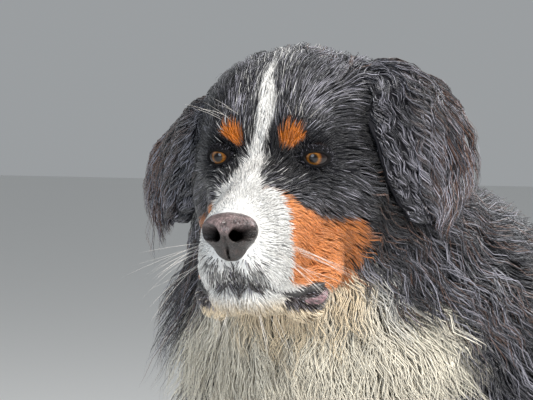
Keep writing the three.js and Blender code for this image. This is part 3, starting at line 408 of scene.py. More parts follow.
@dataclass
class Coat:
    """The coat everywhere: each place is the average of the stations near it."""

    at: Array = field(init=False)
    reach: Array = field(init=False)
    values: Array = field(init=False)
    mirrored: Array = field(init=False)
    batch: int = 40000

    def __post_init__(self) -> None:
        """Gathers the stations: the body's once, folded onto the left, and the head's on both sides."""
        rows = [(s.at, s.reach, (s.depth, s.hair, *s.lie), True) for s in BODY_COAT]
        for s in HEAD_COAT:
            for sign in (1, -1) if s.at[0] else (1,):
                at = from_head(s.at[0] * sign, s.at[1], s.at[2])
                lie = HEAD.turned([s.lie[0] * sign, s.lie[1], s.lie[2]])
                rows.append((at, s.reach, (s.depth, s.hair, *lie), False))
        self.at = np.array([row[0] for row in rows])
        self.reach = np.array([row[1] for row in rows])
        self.values = np.array([row[2] for row in rows])
        self.mirrored = np.array([row[3] for row in rows])

    def near(self, p: Array) -> Array:
        """Depth, hair length and lie at points: stations weighted by exp(-distance² / 2 reach²).

        Args:
            p: N points in the body's frame.

        Returns:
            N rows of depth, hair, and the three parts of the lie, not scaled.
        """
        out = np.empty((len(p), 5))
        for start in range(0, len(p), self.batch):
            q = p[start : start + self.batch]
            side = np.where(q[:, :1] < 0, -1.0, 1.0)
            total = np.full(len(q), 1e-12)
            sums = np.zeros((len(q), 5))
            for mirrored in (True, False):
                pick = self.mirrored == mirrored
                place = folded(q) if mirrored else q
                square = ((place[:, None, :] - self.at[None, pick]) ** 2).sum(axis=2)
                weight = np.exp(-square / (2.0 * self.reach[pick] ** 2))
                part = weight @ self.values[pick]
                if mirrored:
                    part[:, 2:3] *= side
                sums += part
                total += weight.sum(axis=1)
            sums[:, :2] /= total[:, None]
            out[start : start + self.batch] = sums
        return out


COAT = Coat()
FRONT_STAGGER = 10.0
HIND_STAGGER = 22.0
STAGGER_FOOT = 60.0
STAGGER_TOP = 470.0


def stagger(p: Array) -> Array:
    """How far back points of the legs stand: the left legs are a little ahead, less so up the leg."""
    reach = np.where(p[:, 1] < 0, -FRONT_STAGGER, -HIND_STAGGER)
    return np.sign(p[:, 0]) * reach * (1.0 - smoothstep(p[:, 2], STAGGER_FOOT, STAGGER_TOP))


def flesh(p: Array) -> Array:
    """How far points are outside the dog's flesh, in millimetres."""
    leg = p.copy()
    leg[:, 1] -= stagger(p)
    d = melt(TORSO.distance(p), NECK.distance(p), 70)
    d = melt(d, SKULL.distance(HEAD.to_head(p)), 26)
    d = melt(d, FORE_LEG.distance(leg), 30)
    d = melt(d, HIND_LEG.distance(leg), 34)
    return melt(d, TAIL.distance(p), 26)


Field = Callable[[Array], Array]
CORNERS = np.array([[1, -1, -1], [-1, -1, 1], [-1, 1, -1], [1, 1, 1]], float)


def slope(surface: Field, p: Array, step: float = 1.5) -> Array:
    """The direction in which a field grows fastest, from its values at four corners round each point."""
    values = surface((p[:, None, :] + CORNERS * step).reshape(-1, 3)).reshape(-1, 4)
    return unit(values @ CORNERS)


def settle(surface: Field, p: Array, times: int = 3) -> tuple[Array, Array]:
    """Moves points along a field's slope until the field there is nought.

    Args:
        surface: the field.
        p: N points near its surface.
        times: how often to step.

    Returns:
        The points and the slopes there.
    """
    n = slope(surface, p)
    for _ in range(times):
        p = p - n * surface(p)[:, None] * 0.9
        n = slope(surface, p)
    return p, n


@dataclass(frozen=True)
class Paw:
    """One foot under its leg: where its heel stands and how large it is beside a foot of middle size."""

    heel: Vec
    scale: float

    def centre(self, side: Side) -> Array:
        """The heel on the floor, with the legs' stagger."""
        place = np.array([[self.heel[0] * side.value, self.heel[1], 0.0]])
        place[:, 1] += stagger(place)
        return place[0]

    def local(self, p: Array, side: Side) -> Array:
        """Points in the foot's own frame, scaled to a foot of middle size."""
        return (p - self.centre(side)) / self.scale

    def world(self, p: Array | Sequence, side: Side) -> Array:
        """Points of the foot's own frame in the body's."""
        return np.asarray(p, float) * self.scale + self.centre(side)


TOES: tuple[tuple[float, float], ...] = ((-27.0, 10.0), (-10.0, 0.0), (10.0, 0.0), (27.0, 10.0))
"""Each toe of a foot of middle size: how far it stands aside and back."""
FORE_PAW = Paw((98.0, -256.0, 0.0), 1.1)
HIND_PAW = Paw((97.0, 332.0, 0.0), 1.02)


def toe_shapes() -> tuple[Shape, ...]:
    """Each toe as three bars: down from the knuckle, forward and to its blunt end."""
    shapes: list[Shape] = []
    for aside, back in TOES:
        knuckle = (aside * 0.6, 6 + back * 0.3, 33.0)
        arch = (aside * 0.88, -17 + back, 26.0)
        end = (aside, -34 + back, 13.0)
        shapes += [Limb(knuckle, arch, 10.0, 11.5), Limb(arch, end, 11.5, 11.0)]
        shapes.append(Lobe((aside, -38 + back, 12.0), (9.0, 10.0, 9.0)))
    return tuple(shapes)


FOOT = Group(5, toe_shapes() + (Limb((0, 12, 62), (0, -2, 24), 25, 22), Lobe((0, 4, 14), (22, 19, 13))))


MOUTH_LINE: tuple[Vec, ...] = (
    (0, -101, -77),
    (12, -97, -81),
    (23, -88, -87),
    (32, -71, -94),
    (39, -57, -97),
    (44, -49, -95.5),
    (50, -41, -94.5),
    (57, -26, -94),
)
MOUTH_DEPTHS = (2.4, 2.6, 2.0, 2.0, 2.8, 3.2, 3.2, 1.8)


def bars(line: Sequence[Vec], radii: Sequence[float], h: Array) -> Array:
    """How far points are outside a chain of tapered bars on the left, or its mirror image on the right."""
    left = folded(h)
    d = np.full(len(h), FAR)
    for a, b, ra, rb in zip(line, line[1:], radii, radii[1:]):
        d = np.minimum(d, Limb(a, b, ra, rb).distance(left))
    return d


def mouth_groove(h: Array) -> Array:
    """How far points of the head's frame are outside the crease between the lips."""
    return bars(MOUTH_LINE, MOUTH_DEPTHS, h)


SOLE_HEIGHT = 1.2


def skin_surface(p: Array) -> Array:
    """How far points are outside the whole skin: the flesh with the mouth's crease and the feet."""
    d = flesh(p)
    near = (p[:, 1] < -430.0) & (p[:, 2] > 600.0) & (p[:, 2] < 720.0)
    if near.any():
        d[near] = -melt(-d[near], mouth_groove(HEAD.to_head(p[near])), 4.0)
    low = p[:, 2] < 140.0
    if low.any():
        here = p[low]
        feet = np.full(len(here), FAR)
        for paw in (FORE_PAW, HIND_PAW):
            for side in Side:
                feet = np.minimum(feet, FOOT.distance(paw.local(here, side)) * paw.scale)
        d[low] = melt(d[low], feet, 14.0)
    return np.maximum(d, SOLE_HEIGHT - p[:, 2])


@dataclass
class Path:
    """A smooth line through points: a centripetal Catmull-Rom curve sampled evenly along its length."""

    points: Sequence[Vec]
    up: Vec = UP
    samples: int = 240

    def __post_init__(self) -> None:
        """Samples the curve: Barry and Goldman's blend of four points, knots spaced by root distances."""
        p = np.array(self.points, float)
        ends = [2 * p[0] - p[1], *p, 2 * p[-1] - p[-2]]
        pieces = []
        for a, b, c, d in zip(ends, ends[1:], ends[2:], ends[3:]):
            k1 = max(np.linalg.norm(b - a), 1e-6) ** 0.5
            k2 = k1 + max(np.linalg.norm(c - b), 1e-6) ** 0.5
            k3 = k2 + max(np.linalg.norm(d - c), 1e-6) ** 0.5
            t = np.linspace(k1, k2, 40, endpoint=False)[:, None]
            ab, cd = mix(a, b, t / k1), mix(c, d, (t - k2) / (k3 - k2))
            bc = mix(b, c, (t - k1) / (k2 - k1))
            abc, bcd = mix(ab, bc, t / k2), mix(bc, cd, (t - k1) / (k3 - k1))
            pieces.append(mix(abc, bcd, (t - k1) / (k2 - k1)))
        dense = np.concatenate([*pieces, p[-1:]])
        run = np.concatenate([[0.0], np.cumsum(np.linalg.norm(np.diff(dense, axis=0), axis=1))])
        self.length = run[-1]
        even = np.linspace(0.0, run[-1], self.samples)
        self.at = np.stack([np.interp(even, run, dense[:, i]) for i in range(3)], axis=1)
        self.along = unit(np.gradient(self.at, axis=0))
        self.across = unit(np.cross(self.along, np.array(self.up)))
        self.over = unit(np.cross(self.across, self.along))

    def frames(self, share: Array) -> tuple[Array, Array, Array, Array]:
        """Places on the line with the way it runs and the two directions across it.

        Args:
            share: how far along each place is, from 0 to 1.

        Returns:
            Places, along, across and over, each with a row per share.
        """
        at = np.clip(np.asarray(share, float), 0.0, 1.0) * (self.samples - 1)
        i = np.minimum(at.astype(int), self.samples - 2)
        f = (at - i)[:, None]
        rows = (self.at, self.along, self.across, self.over)
        place, along, across, over = (mix(r[i], r[i + 1], f) for r in rows)
        return place, unit(along), unit(across), unit(over)

    def nearest(self, p: Array) -> tuple[Array, Array]:
        """How far along the line points are, and at what turn about it, both as shares from 0 to 1."""
        share, turn = np.empty(len(p)), np.empty(len(p))
        batch = 20000
        for start in range(0, len(p), batch):
            q = p[start : start + batch]
            i = ((q[:, None, :] - self.at[None]) ** 2).sum(axis=2).argmin(axis=1)
            off = q - self.at[i]
            x, y = (off * self.across[i]).sum(axis=1), (off * self.over[i]).sum(axis=1)
            share[start : start + batch] = i / (self.samples - 1)
            turn[start : start + batch] = np.arctan2(x, y) / FULL_TURN + 0.5
        return share, turn


def ray_reach(surface: Field, origin: Array, ray: Array, limit: float, step: float = 6.0) -> Array:
    """How far along each ray a field first turns positive: a march of even steps, then 12 halvings."""
    inside = np.zeros(len(origin))
    outside = np.full(len(origin), limit)
    open_rays = np.ones(len(origin), bool)
    for t in np.arange(step, limit, step):
        index = np.flatnonzero(open_rays)
        if not len(index):
            break
        hit = surface(origin[index] + ray[index] * t) > 0
        outside[index[hit]] = t
        open_rays[index[hit]] = False
        inside[index[~hit]] = t
    for _ in range(12):
        middle = (inside + outside) / 2
        hit = surface(origin + ray * middle[:, None]) > 0
        outside = np.where(hit, middle, outside)
        inside = np.where(hit, inside, middle)
    return outside


def grid_faces(rows: int, columns: int, closed: bool = True) -> Array:
    """Quads of a grid of points, rows by columns, whose columns close on themselves if closed."""
    r, c = np.meshgrid(np.arange(rows - 1), np.arange(columns if closed else columns - 1), indexing="ij")
    r, c = r.ravel(), c.ravel()
    n = (c + 1) % columns
    return np.stack([r * columns + c, r * columns + n, (r + 1) * columns + n, (r + 1) * columns + c], axis=1)


def capped_grid(points: Array) -> tuple[Array, list[Array]]:
    """A closed tube of rings: the grid's quads and a fan to the middle of each end ring.

    Args:
        points: rings by places round each ring by 3.

    Returns:
        The points with the two middles added, and the quads and triangles.
    """
    rows, columns = points.shape[:2]
    middles = [points[0].mean(axis=0)[None], points[-1].mean(axis=0)[None]]
    flat = np.concatenate([points.reshape(-1, 3), *middles])
    i = np.arange(columns)
    n = (i + 1) % columns
    start = np.stack([np.full(columns, rows * columns), n, i], axis=1)
    last = (rows - 1) * columns
    end = np.stack([np.full(columns, rows * columns + 1), last + i, last + n], axis=1)
    return flat, [grid_faces(rows, columns), start, end]


def ray_tube(
    surface: Field, line: Path, stations: Array, around: int, limit: float
) -> tuple[Array, list[Array]]:
    """A closed skin round a line: rays leave it at each station and stop where the field ends.

    Args:
        surface: the field.
        line: the line inside the form.
        stations: rows of the share along the line and the lean of the rays, 90 degrees straight out.
        around: rays at each station.
        limit: how far a ray may go.

    Returns:
        Points and faces, as capped_grid gives them.
    """
    place, along, across, over = line.frames(stations[:, 0])
    lean = np.radians(stations[:, 1])[:, None, None]
    turn = np.linspace(0, FULL_TURN, around, endpoint=False)[None, :, None]
    out = across[:, None] * np.sin(turn) + over[:, None] * np.cos(turn)
    ray = unit(out * np.sin(lean) - along[:, None] * np.cos(lean)).reshape(-1, 3)
    origin = np.repeat(place, around, axis=0)
    reach = ray_reach(surface, origin, ray, limit)
    points = (origin + ray * reach[:, None]).reshape(len(stations), around, 3)
    return capped_grid(points)


def fan_stations(count: int, start_fan: Sequence[float], end_fan: Sequence[float]) -> Array:
    """Even stations along a line, with rays fanned out at both ends."""
    rows = [(0.0, lean) for lean in start_fan]
    rows += [(i / (count - 1), 90.0) for i in range(count)]
    rows += [(1.0, lean) for lean in end_fan]
    return np.array(rows)


def packed_offset() -> Array:
    """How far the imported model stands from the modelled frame, read from where its left eye is."""
    low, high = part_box("eye_left")
    middle = (np.array(low) + np.array(high)) / 2.0 / METRE
    return middle - np.array(from_head(*EYE_CENTRE))


EYE_RADIUS = 12.2
EYE_SPREAD = 18.0
EYE_CENTRE: Vec = (39.0, 9.5, 0.0)
OFFSET = packed_offset()


def to_frame(p: Array) -> Array:
    """Points of the modelled frame, in millimetres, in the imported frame, in metres."""
    return (p + OFFSET) * METRE


def linked(name: str, data: bpy.types.ID) -> bpy.types.Object:
    """A new object for a mesh, camera or light, in the scene."""
    made = bpy.data.objects.new(name, data)
    bpy.context.scene.collection.objects.link(made)
    return made


@dataclass
class Piece:
    """A mesh on its way to Blender: its points, faces and the values that its finish reads."""

    name: str
    points: Array
    faces: list[Array]
    colours: Array | None = None
    values: dict[str, Array] = field(default_factory=dict)
    uv: Array | None = None

    def build(
        self, material: bpy.types.Material, slot: str, replaced: Iterable[str] = ()
    ) -> bpy.types.Object:
        """Makes the object at the origin, rides it on the body and hides the solids that it stands for.

        Args:
            material: its finish.
            slot: not used.
            replaced: the solids that it stands for.

        Returns:
            The new object.
        """
        mesh = bpy.data.meshes.new(self.name)
        loops = np.concatenate([f.ravel() for f in self.faces]).astype(np.int32)
        sizes = np.concatenate([np.full(len(f), f.shape[1]) for f in self.faces])
        starts = np.concatenate([[0], np.cumsum(sizes)[:-1]]).astype(np.int32)
        mesh.vertices.add(len(self.points))
        mesh.vertices.foreach_set("co", to_frame(self.points).astype(np.float32).ravel())
        mesh.loops.add(len(loops))
        mesh.loops.foreach_set("vertex_index", loops)
        mesh.polygons.add(len(sizes))
        mesh.polygons.foreach_set("loop_start", starts)
        mesh.polygons.foreach_set("use_smooth", np.ones(len(sizes), bool))
        if self.colours is not None:
            rgba = np.concatenate([self.colours, np.ones((len(self.colours), 1))], axis=1)
            layer = mesh.color_attributes.new("coat_colour", "FLOAT_COLOR", "POINT")
            layer.data.foreach_set("color", rgba.astype(np.float32).ravel())
        for name, value in self.values.items():
            kind, key = ("FLOAT", "value") if value.ndim == 1 else ("FLOAT_VECTOR", "vector")
            layer = mesh.attributes.new(name, kind, "POINT")
            layer.data.foreach_set(key, value.astype(np.float32).ravel())
        if self.uv is not None:
            mesh.uv_layers.new(name="OFBake").data.foreach_set("uv", self.uv.astype(np.float32).ravel())
        mesh.update()
        mesh.validate()
        mesh.materials.append(material)
        piece = linked(self.name, mesh)
        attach(piece, "root")
        if replaced:
            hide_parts(*replaced)
        log.info("%s: %d faces", self.name, len(sizes))
        return piece


def noise(p: Array, wave: float, seed: int) -> Array:
    """Smooth noise from -1 to 1 over space: the sum of six sine waves in seeded directions.

    Args:
        p: N points.
        wave: the length of the waves in millimetres.
        seed: picks the directions and phases.

    Returns:
        N values.
    """
    rng = np.random.default_rng(seed)
    ways = unit(rng.normal(size=(6, 3))) * rng.uniform(0.7, 1.4, (6, 1)) * 2 * math.pi / wave
    return np.sin(p @ ways.T + rng.uniform(0, FULL_TURN, 6)).sum(axis=1) / 2.6


class Hue(Enum):
    """The coat's colours as linear red, green and blue."""

    # black hair; its slight blue cast is partly painted reflection of cool light
    BLACK = (0.0105, 0.01, 0.0135)
    # painted highlight: the pale grey of light glinting on glossy black hair
    FROST = (0.38, 0.37, 0.43)
    BROWN = (0.13, 0.06, 0.035)
    WHITE = (0.585, 0.58, 0.565)
    # partly the coat's cream, partly painted shade under the chin
    CREAM = (0.58, 0.46, 0.3)
    # the chest's white, darker and warmer: partly its own tone, partly painted shade
    CHEST = (0.56, 0.52, 0.43)
    RUST = (0.4, 0.11, 0.006)
    TAN = (0.62, 0.235, 0.075)
    # painted shade: the rust darkened where it runs back under the ear
    UMBER = (0.26, 0.09, 0.02)
    LIP = (0.035, 0.026, 0.025)

    @property
    def rgb(self) -> Array:
        """The colour as an array."""
        return np.array(self.value)


BLACK_BELOW = 0.05
"""Hair whose red is below this is black; white and rust are well above it."""


@dataclass(frozen=True)
class Spot:
    """A rounded mark on the head: its middle and its half sizes in the head's frame."""

    centre: Vec
    half: Vec

    def mask(self, h: Array, soft: float = 0.18) -> Array:
        """1 inside, 0 outside, by the distance to the middle scaled by the half sizes."""
        q = (h - np.array(self.centre)) / np.array(self.half)
        return 1.0 - smoothstep(np.linalg.norm(q, axis=1), 1.0 - soft, 1.0 + soft)


def between(rows: Sequence[tuple[float, float]], at: Array) -> Array:
    """The second value of a table's rows, read at places given in its first."""
    table = np.array(rows)
    return np.interp(at, table[:, 0], table[:, 1])


@dataclass(frozen=True)
class Markings:
    """Where the coat is white and rust; the rest is black. It also gives the painted shade on the black."""

    blaze: tuple[tuple[float, float, float], ...] = (
        # height of the place on the brow or muzzle, middle across, half width
        (76.0, -7.0, -4.0),
        (68.0, -5.5, 2.0),
        (60.0, -4.2, 5.0),
        (49.0, -0.8, 6.2),
        (33.5, -0.8, 5.8),
        (20.0, -3.8, 5.2),
        (6.0, -7.0, 7.2),
        (-4.0, -6.5, 13.0),
        (-10.0, -6.8, 17.5),
        (-15.0, -6.0, 23.0),
        (-21.0, -4.0, 30.5),
    )
    muzzle: tuple[tuple[float, float], ...] = (
        # height, how far back the white reaches
        (-110.0, -58.0),
        (-85.0, -64.0),
        (-75.0, -64.0),
        (-59.0, -58.0),
        (-43.0, -51.0),
        (-27.0, -43.0),
        (-12.0, -33.0),
    )
    rust_top: tuple[tuple[float, float], ...] = (
        # how far back, height of the cheek's upper edge
        (-60.0, -5.0),
        (-38.0, -18.0),
        (-31.0, -32.0),
        (-9.0, -46.0),
        (13.0, -54.0),
        (33.0, -59.0),
        (44.0, -66.0),
    )
    rust_foot: tuple[tuple[float, float], ...] = (
        # how far back, height of the cheek's lower edge
        (-60.0, -88.0),
        (-43.0, -93.0),
        (-26.0, -101.0),
        (0.0, -109.0),
        (34.0, -113.0),
        (46.0, -116.0),
    )
    brows: tuple[Spot, Spot] = (
        Spot((23.0, 0.0, 19.5), (10.7, 22.0, 10.8)),
        Spot((-28.5, -1.0, 19.5), (9.0, 22.0, 11.0)),
    )
    chest: tuple[tuple[float, float], ...] = (
        # height, half width of the throat's and chest's white
        (330.0, 40.0),
        (420.0, 62.0),
        (500.0, 90.0),
        (551.0, 109.0),
        (583.0, 122.0),
        (611.0, 120.0),
        (632.0, 84.0),
        (660.0, 62.0),
        (700.0, 48.0),
        (760.0, 40.0),
    )
    chest_back: tuple[tuple[float, float], ...] = (
        # height, how far back that white reaches
        (330.0, -120.0),
        (420.0, -190.0),
        (520.0, -250.0),
        (600.0, -285.0),
        (680.0, -330.0),
        (760.0, -380.0),
    )
    fore_sock: float = 88.0
    hind_sock: float = 66.0
    tail_front: float = 412.0
    tail_side: float = 62.0
    tail_tip: float = 232.0

    def ribbon(self, h: Array) -> tuple[Array, Array]:
        """The blaze's middle across and its half width at each point's height."""
        rows = np.array(self.blaze)[::-1]
        return np.interp(h[:, 2], rows[:, 0], rows[:, 1]), np.interp(h[:, 2], rows[:, 0], rows[:, 2])

    def white_of_head(self, h: Array) -> Array:
        """The blaze, the muzzle with the lips and the chin, as a share from 0 to 1.

        The blaze is a ribbon whose middle and half width follow the height; the muzzle's white ends at a
        slant, further back on the right; the chin's begins below the cheeks' rust.
        """
        middle, half = self.ribbon(h)
        wobble = noise(h, 24.0, 5) * 1.3
        ribbon = half - np.abs(h[:, 0] - middle) + wobble
        further = mix(8.0, 30.0, smoothstep(-h[:, 2], 40.0, 60.0)) * (h[:, 0] < 0)
        muzzle = between(self.muzzle, h[:, 2]) + further - h[:, 1] + wobble
        top = smoothstep(h[:, 2], -22.0, -12.0)
        face = mix(muzzle, ribbon, top)
        chin = between(self.rust_foot, h[:, 1]) - h[:, 2] + wobble
        return smoothstep(np.maximum(face, chin), -1.5, 1.5)

    def rust_of_head(self, h: Array) -> Array:
        """The brow spots and the cheeks, from 0 to 1."""
        below = between(self.rust_top, h[:, 1]) - h[:, 2]
        cheek = np.minimum(below, 42.0 - h[:, 1]) + noise(h, 30.0, 6) * 2.0
        cheek = smoothstep(cheek, -3.0, 3.0) * smoothstep(np.abs(h[:, 0]), 8.0, 16.0)
        lids = np.linalg.norm(folded(h) - [EYE_CENTRE[0], 0.0, 0.0], axis=1)
        brow = np.maximum(*(spot.mask(h) for spot in self.brows)) * smoothstep(lids, 16.5, 18.5)
        return np.maximum(cheek, brow)

    def of_tail(self, p: Array) -> Array:
        """Which points are on the tail and not on the legs beside it."""
        return (p[:, 1] > self.tail_front) & (np.abs(p[:, 0]) < self.tail_side)

    def white_of_body(self, p: Array) -> Array:
        """The throat and chest down between the fore legs, the feet and the tail's tip, from 0 to 1."""
        wobble = noise(p, 70.0, 7) * 8.0
        wide, back = between(self.chest, p[:, 2]), between(self.chest_back, p[:, 2])
        chest = np.minimum(wide - np.abs(p[:, 0] - 3.0), back - p[:, 1]) + wobble
        foot = np.where(p[:, 1] < 60, self.fore_sock, self.hind_sock) - p[:, 2] + wobble * 0.7
        tip = np.where(self.of_tail(p), self.tail_tip - p[:, 2], -50.0) + wobble * 1.5
        return smoothstep(np.maximum.reduce([chest, foot, tip]), -6.0, 6.0)

    def rust_of_body(self, p: Array) -> Array:
        """The legs, the patches beside the chest's white and under the tail, from 0 to 1."""
        wobble = noise(p, 60.0, 8) * 9.0
        y = p[:, 1] - stagger(p)
        left = folded(p)
        aside = left[:, 0]
        before_tail = (p[:, 1] < self.tail_front) | (aside > self.tail_side)
        fore = np.where(y < 0.0, 292.0 - p[:, 2] - np.maximum(y + 205.0, 0.0) * 0.5, -60.0)
        fore_inner = np.where(y < -130.0, np.minimum(352.0 - p[:, 2], 100.0 - aside), -60.0)
        rise = np.clip(330.0 - y, 0.0, 110.0) * 0.55
        hind = np.where((y > 60.0) & before_tail, 222.0 - p[:, 2] + rise, -60.0)
        hind_inner = np.where((y > 230.0) & before_tail, np.minimum(372.0 - p[:, 2], 84.0 - aside), -60.0)
        breast = 36.0 - np.linalg.norm((left - [104, -318, 478]) * [1, 1, 0.7], axis=1)
        vent = 36.0 - np.linalg.norm((p - [0.0, 386.0, 505.0]) * [0.9, 1.0, 0.5], axis=1)
        parts = np.maximum.reduce([fore, fore_inner, hind, hind_inner, breast, vent])
        return smoothstep(parts + wobble, -7.0, 7.0)

    def colour(self, p: Array) -> Array:
        """The coat's colour at points of the body's frame, with painted shade on the cheeks' rust, the throat
        and the chest, as linear red, green and blue.
        """
        h = HEAD.to_head(p)
        on_head = 1.0 - smoothstep(h[:, 1] - h[:, 2] * 0.45, 92.0, 112.0)
        on_head *= (p[:, 1] < -300.0) & (p[:, 2] > 560.0)
        low = smoothstep(-h[:, 2], 118.0, 132.0)
        head_white = self.white_of_head(h) * on_head
        head_rust = self.rust_of_head(h) * on_head * (1.0 - low)
        white = np.maximum(head_white, self.white_of_body(p) * np.maximum(1.0 - on_head, low))
        rust = np.maximum(head_rust, self.rust_of_body(p) * (1.0 - on_head)) * (1.0 - white)
        black = np.clip(1.0 - white - rust, 0.0, 1.0)
        # partly the coat's own cream and partly painted shade: the white goes cream under the chin and darker
        # and warmer on the chest below the throat
        cream_and_shade = smoothstep(-h[:, 2], 92.0, 112.0) * (1.0 - smoothstep(-h[:, 2], 150.0, 210.0)) * on_head
        lower = smoothstep(650.0 - p[:, 2], 0.0, 40.0) * (p[:, 2] > 250.0)
        pale = mix(Hue.WHITE.rgb, Hue.CHEST.rgb, lower[:, None])
        pale = mix(pale, Hue.CREAM.rgb, (cream_and_shade * 0.8)[:, None])
        # painted shade: the cheeks' rust turns darker brown towards the back of the jaw
        back = smoothstep(h[:, 1], -5.0, 32.0) * on_head
        light = smoothstep(-h[:, 2], 0.0, 26.0) * on_head * (1.0 - 0.8 * back)
        warm = mix(Hue.RUST.rgb, Hue.TAN.rgb, light[:, None])
        warm = mix(warm, Hue.UMBER.rgb, (back * 0.6)[:, None])
        return black[:, None] * Hue.BLACK.rgb + white[:, None] * pale + rust[:, None] * warm

    def salt(self, h: Array) -> Array:
        """The share of pale hairs among the black beside the blaze: more on its right and at its top."""
        middle, half = self.ribbon(h)
        top = smoothstep(h[:, 2], 48.0, 76.0)
        reach = mix(np.where(h[:, 0] < middle, 9.0, 4.0), 17.0, top)
        beside = np.maximum(np.abs(h[:, 0] - middle) - half, 0.0)
        face = (h[:, 2] > -24.0) * (1.0 - smoothstep(h[:, 2], 92.0, 112.0)) * (h[:, 1] < 110.0)
        return face * 0.5 * np.exp(-beside / reach) * mix(0.75, 1.0, top)

    def gloom(self, p: Array) -> Array:
        """How dark the painted shade on the black is, from 0 to 1: round the eye sockets, on the bridge, under
        the ears' front and in soft patches.
        """
        h = HEAD.to_head(p)
        left = folded(h)
        aside = left[:, 0]
        eye = np.linalg.norm((left - EYE_CENTRE) * [1.0, 0.8, 1.2], axis=1)
        sockets = 1.0 - smoothstep(eye, 20.0, 46.0)
        bridge = 1.0 - smoothstep(aside, 16.0, 24.0)
        bridge *= 1.0 - smoothstep(np.abs(h[:, 2] - 12.0), 10.0, 26.0)
        ear = smoothstep(h[:, 1], 36.0, 50.0) * smoothstep(aside, 52.0, 62.0)
        ear *= 1.0 - smoothstep(h[:, 2], 20.0, 46.0)
        ear *= smoothstep(h[:, 2], -92.0, -70.0) * (1.0 - smoothstep(h[:, 1], 100.0, 130.0))
        patches = smoothstep(noise(h, 46.0, 41), -0.1, 1.1) * 0.45
        on_head = (p[:, 1] < -330.0) & (p[:, 2] > 600.0)
        return np.maximum.reduce([sockets, bridge * (h[:, 1] < 40.0), ear, patches]) * on_head

    def lip_corner(self, h: Array) -> Array:
        """1 on the dark skin and hair round the corners of the mouth, 0 elsewhere."""
        half = folded(h) * [0.5, 1.0, 1.0]
        corner = Limb((20, -59, -104), (29.5, -34, -107), 8.5, 12.0)
        return 1.0 - smoothstep(corner.distance(half), -1.5, 1.5)

    def tuft_colour(self, p: Array, rng: np.random.Generator) -> Array:
        """Each tuft's colour: the coat's, but dark or grey for some on the lips, pale by the blaze, and
        darkened on the black by painted shade.
        """
        h = HEAD.to_head(p)
        aside = np.abs(h[:, 0])
        lips = (1.0 - smoothstep(aside, 18.0, 29.0)) * smoothstep(-h[:, 2], 52.0, 62.0) * (h[:, 1] < -64.0)
        lips *= 1.0 - smoothstep(-h[:, 2], 89.0, 95.0)
        patch = (1.0 - smoothstep(aside, 17.0, 21.0)) * smoothstep(-h[:, 2], 79.0, 82.0)
        near = self.lip_corner(h)
        draw = rng.random(len(p))
        colour = self.colour(p)
        dark = draw < np.maximum(lips * mix(0.42, 0.95, patch), near * 0.93)
        colour = np.where(dark[:, None], Hue.LIP.rgb, colour)
        grey = (draw < lips * mix(0.8, 1.0, patch)) & ~dark
        colour = np.where(grey[:, None], colour * 0.36, colour)
        pale = (rng.random(len(p)) < self.salt(h)) & (colour[:, 0] < BLACK_BELOW)
        colour = np.where(pale[:, None], Hue.WHITE.rgb * rng.uniform(0.2, 0.8, (len(p), 1)), colour)
        # painted shade: black tufts are darkened round the eyes, on the bridge, under the ears' front and in
        # soft patches
        return colour * (1.0 - 0.72 * self.gloom(p) * (colour[:, 0] < 0.03))[:, None]


MARKINGS = Markings()


class Region(Enum):
    """Where a piece of the coat grows."""

    HEAD = 0
    NECK = 1
    TORSO = 2
    FORE_LEG = 3
    HIND_LEG = 4
    TAIL = 5


HEAD_LINE: tuple[Vec, ...] = (
    (0, -74, -56),
    (0, -40, -52),
    (0, 0, -38),
    (0, 44, -16),
    (0, 84, -6),
    (0, 120, -14),
)
TRUNK_LINE: tuple[Vec, ...] = (
    NECK_TOP,
    (0, -318, 690),
    (0, -262, 606),
    (0, -170, 540),
    (0, -40, 516),
    (0, 110, 528),
    (0, 240, 536),
    (0, 300, 536),
)
FORE_LINE: tuple[Vec, ...] = (
    (95, -262, 450),
    (102, -205, 385),
    (100, -200, 300),
    (97, -212, 190),
    CARPUS,
    FORE_PASTERN,
    (97, -262, 14),
)
HIND_LINE: tuple[Vec, ...] = (
    (84, 270, 470),
    (96, 240, 380),
    (98, 236, 322),
    (99, 290, 250),
    (98, 352, 196),
    (98, 366, 160),
    (96, 356, 110),
    HIND_PASTERN,
    (96, 326, 14),
)
LINES: dict[Region, Path] = {
    Region.HEAD: Path([from_head(*point) for point in HEAD_LINE]),
    Region.NECK: Path(TRUNK_LINE),
    Region.TORSO: Path(TRUNK_LINE),
    Region.FORE_LEG: Path(FORE_LINE, FORWARD),
    Region.HIND_LEG: Path(HIND_LINE, FORWARD),
    Region.TAIL: Path(TAIL_LINE, (0.0, 1.0, 0.0)),
}


def regions(p: Array) -> Array:
    """The region that each point belongs to, as the numbers of Region."""
    aside, y, z = np.abs(p[:, 0]), p[:, 1], p[:, 2]
    h = HEAD.to_head(p)
    out = np.full(len(p), Region.TORSO.value)
    out[y > 404.0] = Region.TAIL.value
    out[(y + 235.0) * 0.765 - (z - 660.0) * 0.646 < 0] = Region.NECK.value
    out[(h[:, 1] - 125.0) * 0.878 - (h[:, 2] - 50.0) * 0.479 < 0] = Region.HEAD.value
    for middle, radii, low, high, region in (
        ((126, -240, 395), (90, 106, 126), -380, -60, Region.FORE_LEG),
        ((128, 268, 385), (102, 152, 132), 130, 419, Region.HIND_LEG),
    ):
        egg = ((aside - middle[0]) / radii[0]) ** 2 + ((y - middle[1]) / radii[1]) ** 2
        egg += ((z - middle[2]) / radii[2]) ** 2
        block = (aside > 8.0) & (y > low) & (y < high) & (z < 322.0)
        out[(egg < 1.0) | block] = region.value
    return out


START_FAN = (12, 34, 58, 78)
END_FAN = tuple(180 - lean for lean in reversed(START_FAN))


def mesh_points(mesh: bpy.types.Mesh) -> Array:
    """A mesh's points as N rows."""
    flat = np.empty(len(mesh.vertices) * 3)
    mesh.vertices.foreach_get("co", flat)
    return flat.reshape(-1, 3)


